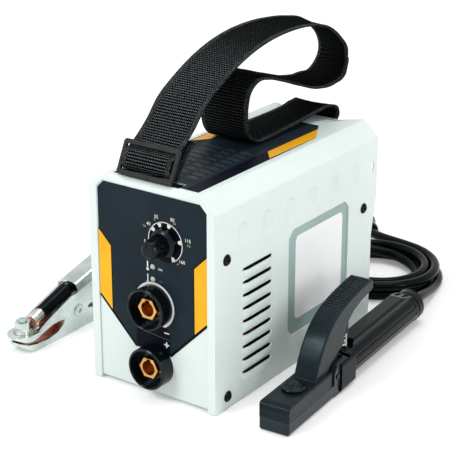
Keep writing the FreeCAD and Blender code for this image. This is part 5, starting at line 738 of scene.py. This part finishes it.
print_on("socket_rings", [arc(*UPPER_SOCKET, *SOCKET_RING, 0, 360)], white_ink, on_front, LIFT)
print_on("socket_ring_low", [arc(*LOWER_SOCKET, *SOCKET_RING, 0, 360)], white_ink, on_panel, LIFT)
print_on("lamp_icons", [oblong(-5.1, 115.8, -3.9, 122.6), arc(-4.5, 115.6, 0.0001, 1.5, 0, 360, 24),
                        oblong(-5.0, 104.2, -4.0, 111.0), oblong(-6.0, 103.6, -3.0, 104.4)],
         white_ink, on_front, LIFT)


def words(name, entries, finish):
    """Plain numbers and marks on the front, as closed letter shapes."""
    vertices = []
    faces = []
    for text, x, z, tall in entries:
        data = bpy.data.curves.new("letters", "FONT")
        data.body = text
        data.size = tall / 0.7
        data.align_x = "CENTER"
        data.align_y = "CENTER"
        data.extrude = INK / 2
        data.resolution_u = 3
        holder = bpy.data.objects.new("letters", data)
        scene.collection.objects.link(holder)
        bpy.context.view_layer.update()
        mesh = bpy.data.meshes.new_from_object(holder)
        start = len(vertices)
        for vertex in mesh.vertices:
            vertices.append(on_front(x + vertex.co.x, z + vertex.co.y, LIFT + INK / 2 + vertex.co.z))
        faces.extend([tuple(start + k for k in face.vertices) for face in mesh.polygons])
        bpy.data.objects.remove(holder)
        bpy.data.curves.remove(data)
        bpy.data.meshes.remove(mesh)
    return piece(name, vertices, faces, finish, "set")


def by_knob(entries, tall):
    """Words placed by their distance from the knob's centre."""
    return [(text, KNOB[0] + x, KNOB[1] + z, tall) for text, x, z in entries]


amps = [("5", *on_dial(-100, 21.5), 3.0)]
amps += by_knob([("40", -17.1, 12.6), ("55", -8.8, 20.4), ("80", 7.7, 21.1), ("115", 22.9, 6.5),
                 ("160", 16.8, -13.4)], 3.0)
words("dial_numbers", amps + [("ON", 8.6, 117.6, 2.0)], white_ink)
words("lamp_mark", [("OFF", 8.9, 106.6, 1.7)], faint_ink)
rods = by_knob([("1.6", -21.5, 10.0), ("2", -10.6, 17.9), ("2.5", 9.5, 18.5), ("3.2", 23.9, 2.6),
                ("4", 12.5, -16.2)], 2.0)
words("dial_sizes", rods, lime_ink)

# Roof label, whose rules stand in for lines of text
roof_bar = [(30.3, 124.6), (41.4, 110.6), (43.0, 182.0), (31.0, 203.6)]
print_on("roof_bars", both(roof_bar), amber, on_roof, LIFT)
roof_side = [(29.6, 8.6), (42.8, 8.6), (42.8, 108.0), (29.6, 124.0)]
print_on("roof_sides", both(roof_side), navy, on_roof, LIFT)
roof_lines = [stroke([(s * 29.9, 124.3), (s * 41.6, 109.9)], 0.9) for s in (-1, 1)]
roof_lines += [stroke([(s * 29.9, 124.0), (s * 30.6, 204.4)], 0.9) for s in (-1, 1)]
print_on("roof_outlines", roof_lines, ink, on_roof, ROOF_LINE_LIFT)
rules = []
for row in range(9):
    y = 32.0 + 9.5 * row
    for left, right in ((-24.0, -6.0), (-2.0, 8.0), (12.0, 25.0)):
        rules.append(oblong(left, y, right, y + 0.6))
        rules.append(oblong(left, y + 3.2, left + (right - left) * 0.7, y + 3.7))
print_on("roof_rules", rules, faint_ink, on_roof, LIFT)


# Badge faces on both sides, left bare
def badge(name, side):
    low, high, front, rear, corner = 43.0, 121.5, 119.0, 195.5, 5.0
    bottom, top = 0.02, 0.3
    points = []
    for cy, cz, first in ((front + corner, low + corner, 180), (rear - corner, low + corner, 270),
                          (rear - corner, high - corner, 0), (front + corner, high - corner, 90)):
        for k in range(7):
            a = math.radians(first + 15 * k)
            points.append((cy + corner * math.cos(a), cz + corner * math.sin(a)))
    vertices, faces = lifted([points], lambda y, z, lift: at(side * (BADGE_FIELD + lift), y, z), bottom, top)
    return outward(piece(name, vertices, faces, badge_white, "set"))


badge("badge_face_right", 1)
badge("badge_face_left", -1)


# Bare wire ends at the mouth of the clamp's crimp barrel
def wires():
    direction = Vector((0, 46, 13.5)).normalized()
    mouth = Vector((-150.0, 12.0, 24.0))
    spacing, thick, rounded, sides = 1.5, 0.72, 0.45, 8
    side = Vector((1, 0, 0))
    up = side.cross(direction)
    places = [(0, 0.0)] + [(1, k / 6) for k in range(6)] + [(2, k / 12) for k in range(12)]
    vertices = []
    faces = []
    for k, (ring, part) in enumerate(places):
        turn = 2 * math.pi * part
        reach = ring * spacing
        root = mouth + side * reach * math.cos(turn) + up * reach * math.sin(turn)
        tip = root - direction * (3.0 + 0.5 * math.sin(k * 2.3)) + side * reach * 0.16 * math.cos(turn)
        rims = ((root + direction * 0.6, thick), (root, thick), (tip, thick),
                (tip - direction * 0.3, rounded))
        start = len(vertices)
        for end, radius in rims:
            for i in range(sides):
                a = 2 * math.pi * i / sides
                vertices.append(at(*(end + side * radius * math.cos(a) + up * radius * math.sin(a))))
        for r in range(len(rims) - 1):
            low = start + r * sides
            for i in range(sides):
                n = (i + 1) % sides
                faces.append((low + i, low + n, low + sides + n, low + sides + i))
        last = start + (len(rims) - 1) * sides
        faces.append(tuple(start + i for i in reversed(range(sides))))
        faces.append(tuple(last + i for i in range(sides)))
    return outward(piece("wire_ends", vertices, faces, copper, "clamp_top", smooth=True))


wires()


# Floor, world and lamps
def seen(tree, low, high):
    """A strength that is high for what the camera, mirrors and glass see, and low for the light itself."""
    path = tree.nodes.new("ShaderNodeLightPath")
    value = path.outputs["Is Camera Ray"]
    for name in ("Is Glossy Ray", "Is Transmission Ray"):
        either = add_node(tree, "ShaderNodeMath", {0: value, 1: path.outputs[name]}, operation="MAXIMUM")
        value = either.outputs["Value"]
    spread = add_node(tree, "ShaderNodeMapRange", {"Value": value, "To Min": low, "To Max": high})
    return spread.outputs["Result"]


def pale_floor(half=12, z=-0.0002):
    mesh = bpy.data.meshes.new("floor")
    corners = [(-half, -half, z), (half, -half, z), (half, half, z), (-half, half, z)]
    mesh.from_pydata(corners, [], [(0, 1, 2, 3)])
    made = bpy.data.objects.new("floor", mesh)
    scene.collection.objects.link(made)
    ground = Finish("floor", (250, 250, 250), 0.7, specular=0.1).tint(3.0, (249, 249, 249), (251, 251, 251))
    ground.shader.inputs["Emission Color"].default_value = WHITE
    ground.drive("Emission Strength", seen(ground.tree, 0.0, 0.2))
    mesh.materials.append(ground.material)
    return made


def studio_world():
    world = bpy.data.worlds.new("studio")
    world.use_nodes = True
    sky = world.node_tree.nodes["Background"]
    sky.inputs["Color"].default_value = WHITE
    world.node_tree.links.new(seen(world.node_tree, 0.62, 1.0), sky.inputs["Strength"])
    return world


def lamp(name, place, aim, power, width, height):
    data = bpy.data.lights.new(name, "AREA")
    data.shape = "RECTANGLE"
    data.size = width
    data.size_y = height
    data.energy = power
    made = bpy.data.objects.new(name, data)
    made.location = place
    made.rotation_mode = "QUATERNION"
    made.rotation_quaternion = (Vector(aim) - Vector(place)).to_track_quat("-Z", "Y")
    scene.collection.objects.link(made)


floor = pale_floor()
scene.world = studio_world()
lamp("key", (-0.9, -2.0, 2.1), (0, 0, 0.1), 32.0, 0.9, 0.9)
lamp("top", (0.2, 0.4, 2.6), (0, 0, 0), 18.0, 0.7, 1.4)
lamp("rim", (2.5, -0.4, 0.9), (0, 0, 0.1), 14.0, 0.5, 1.6)
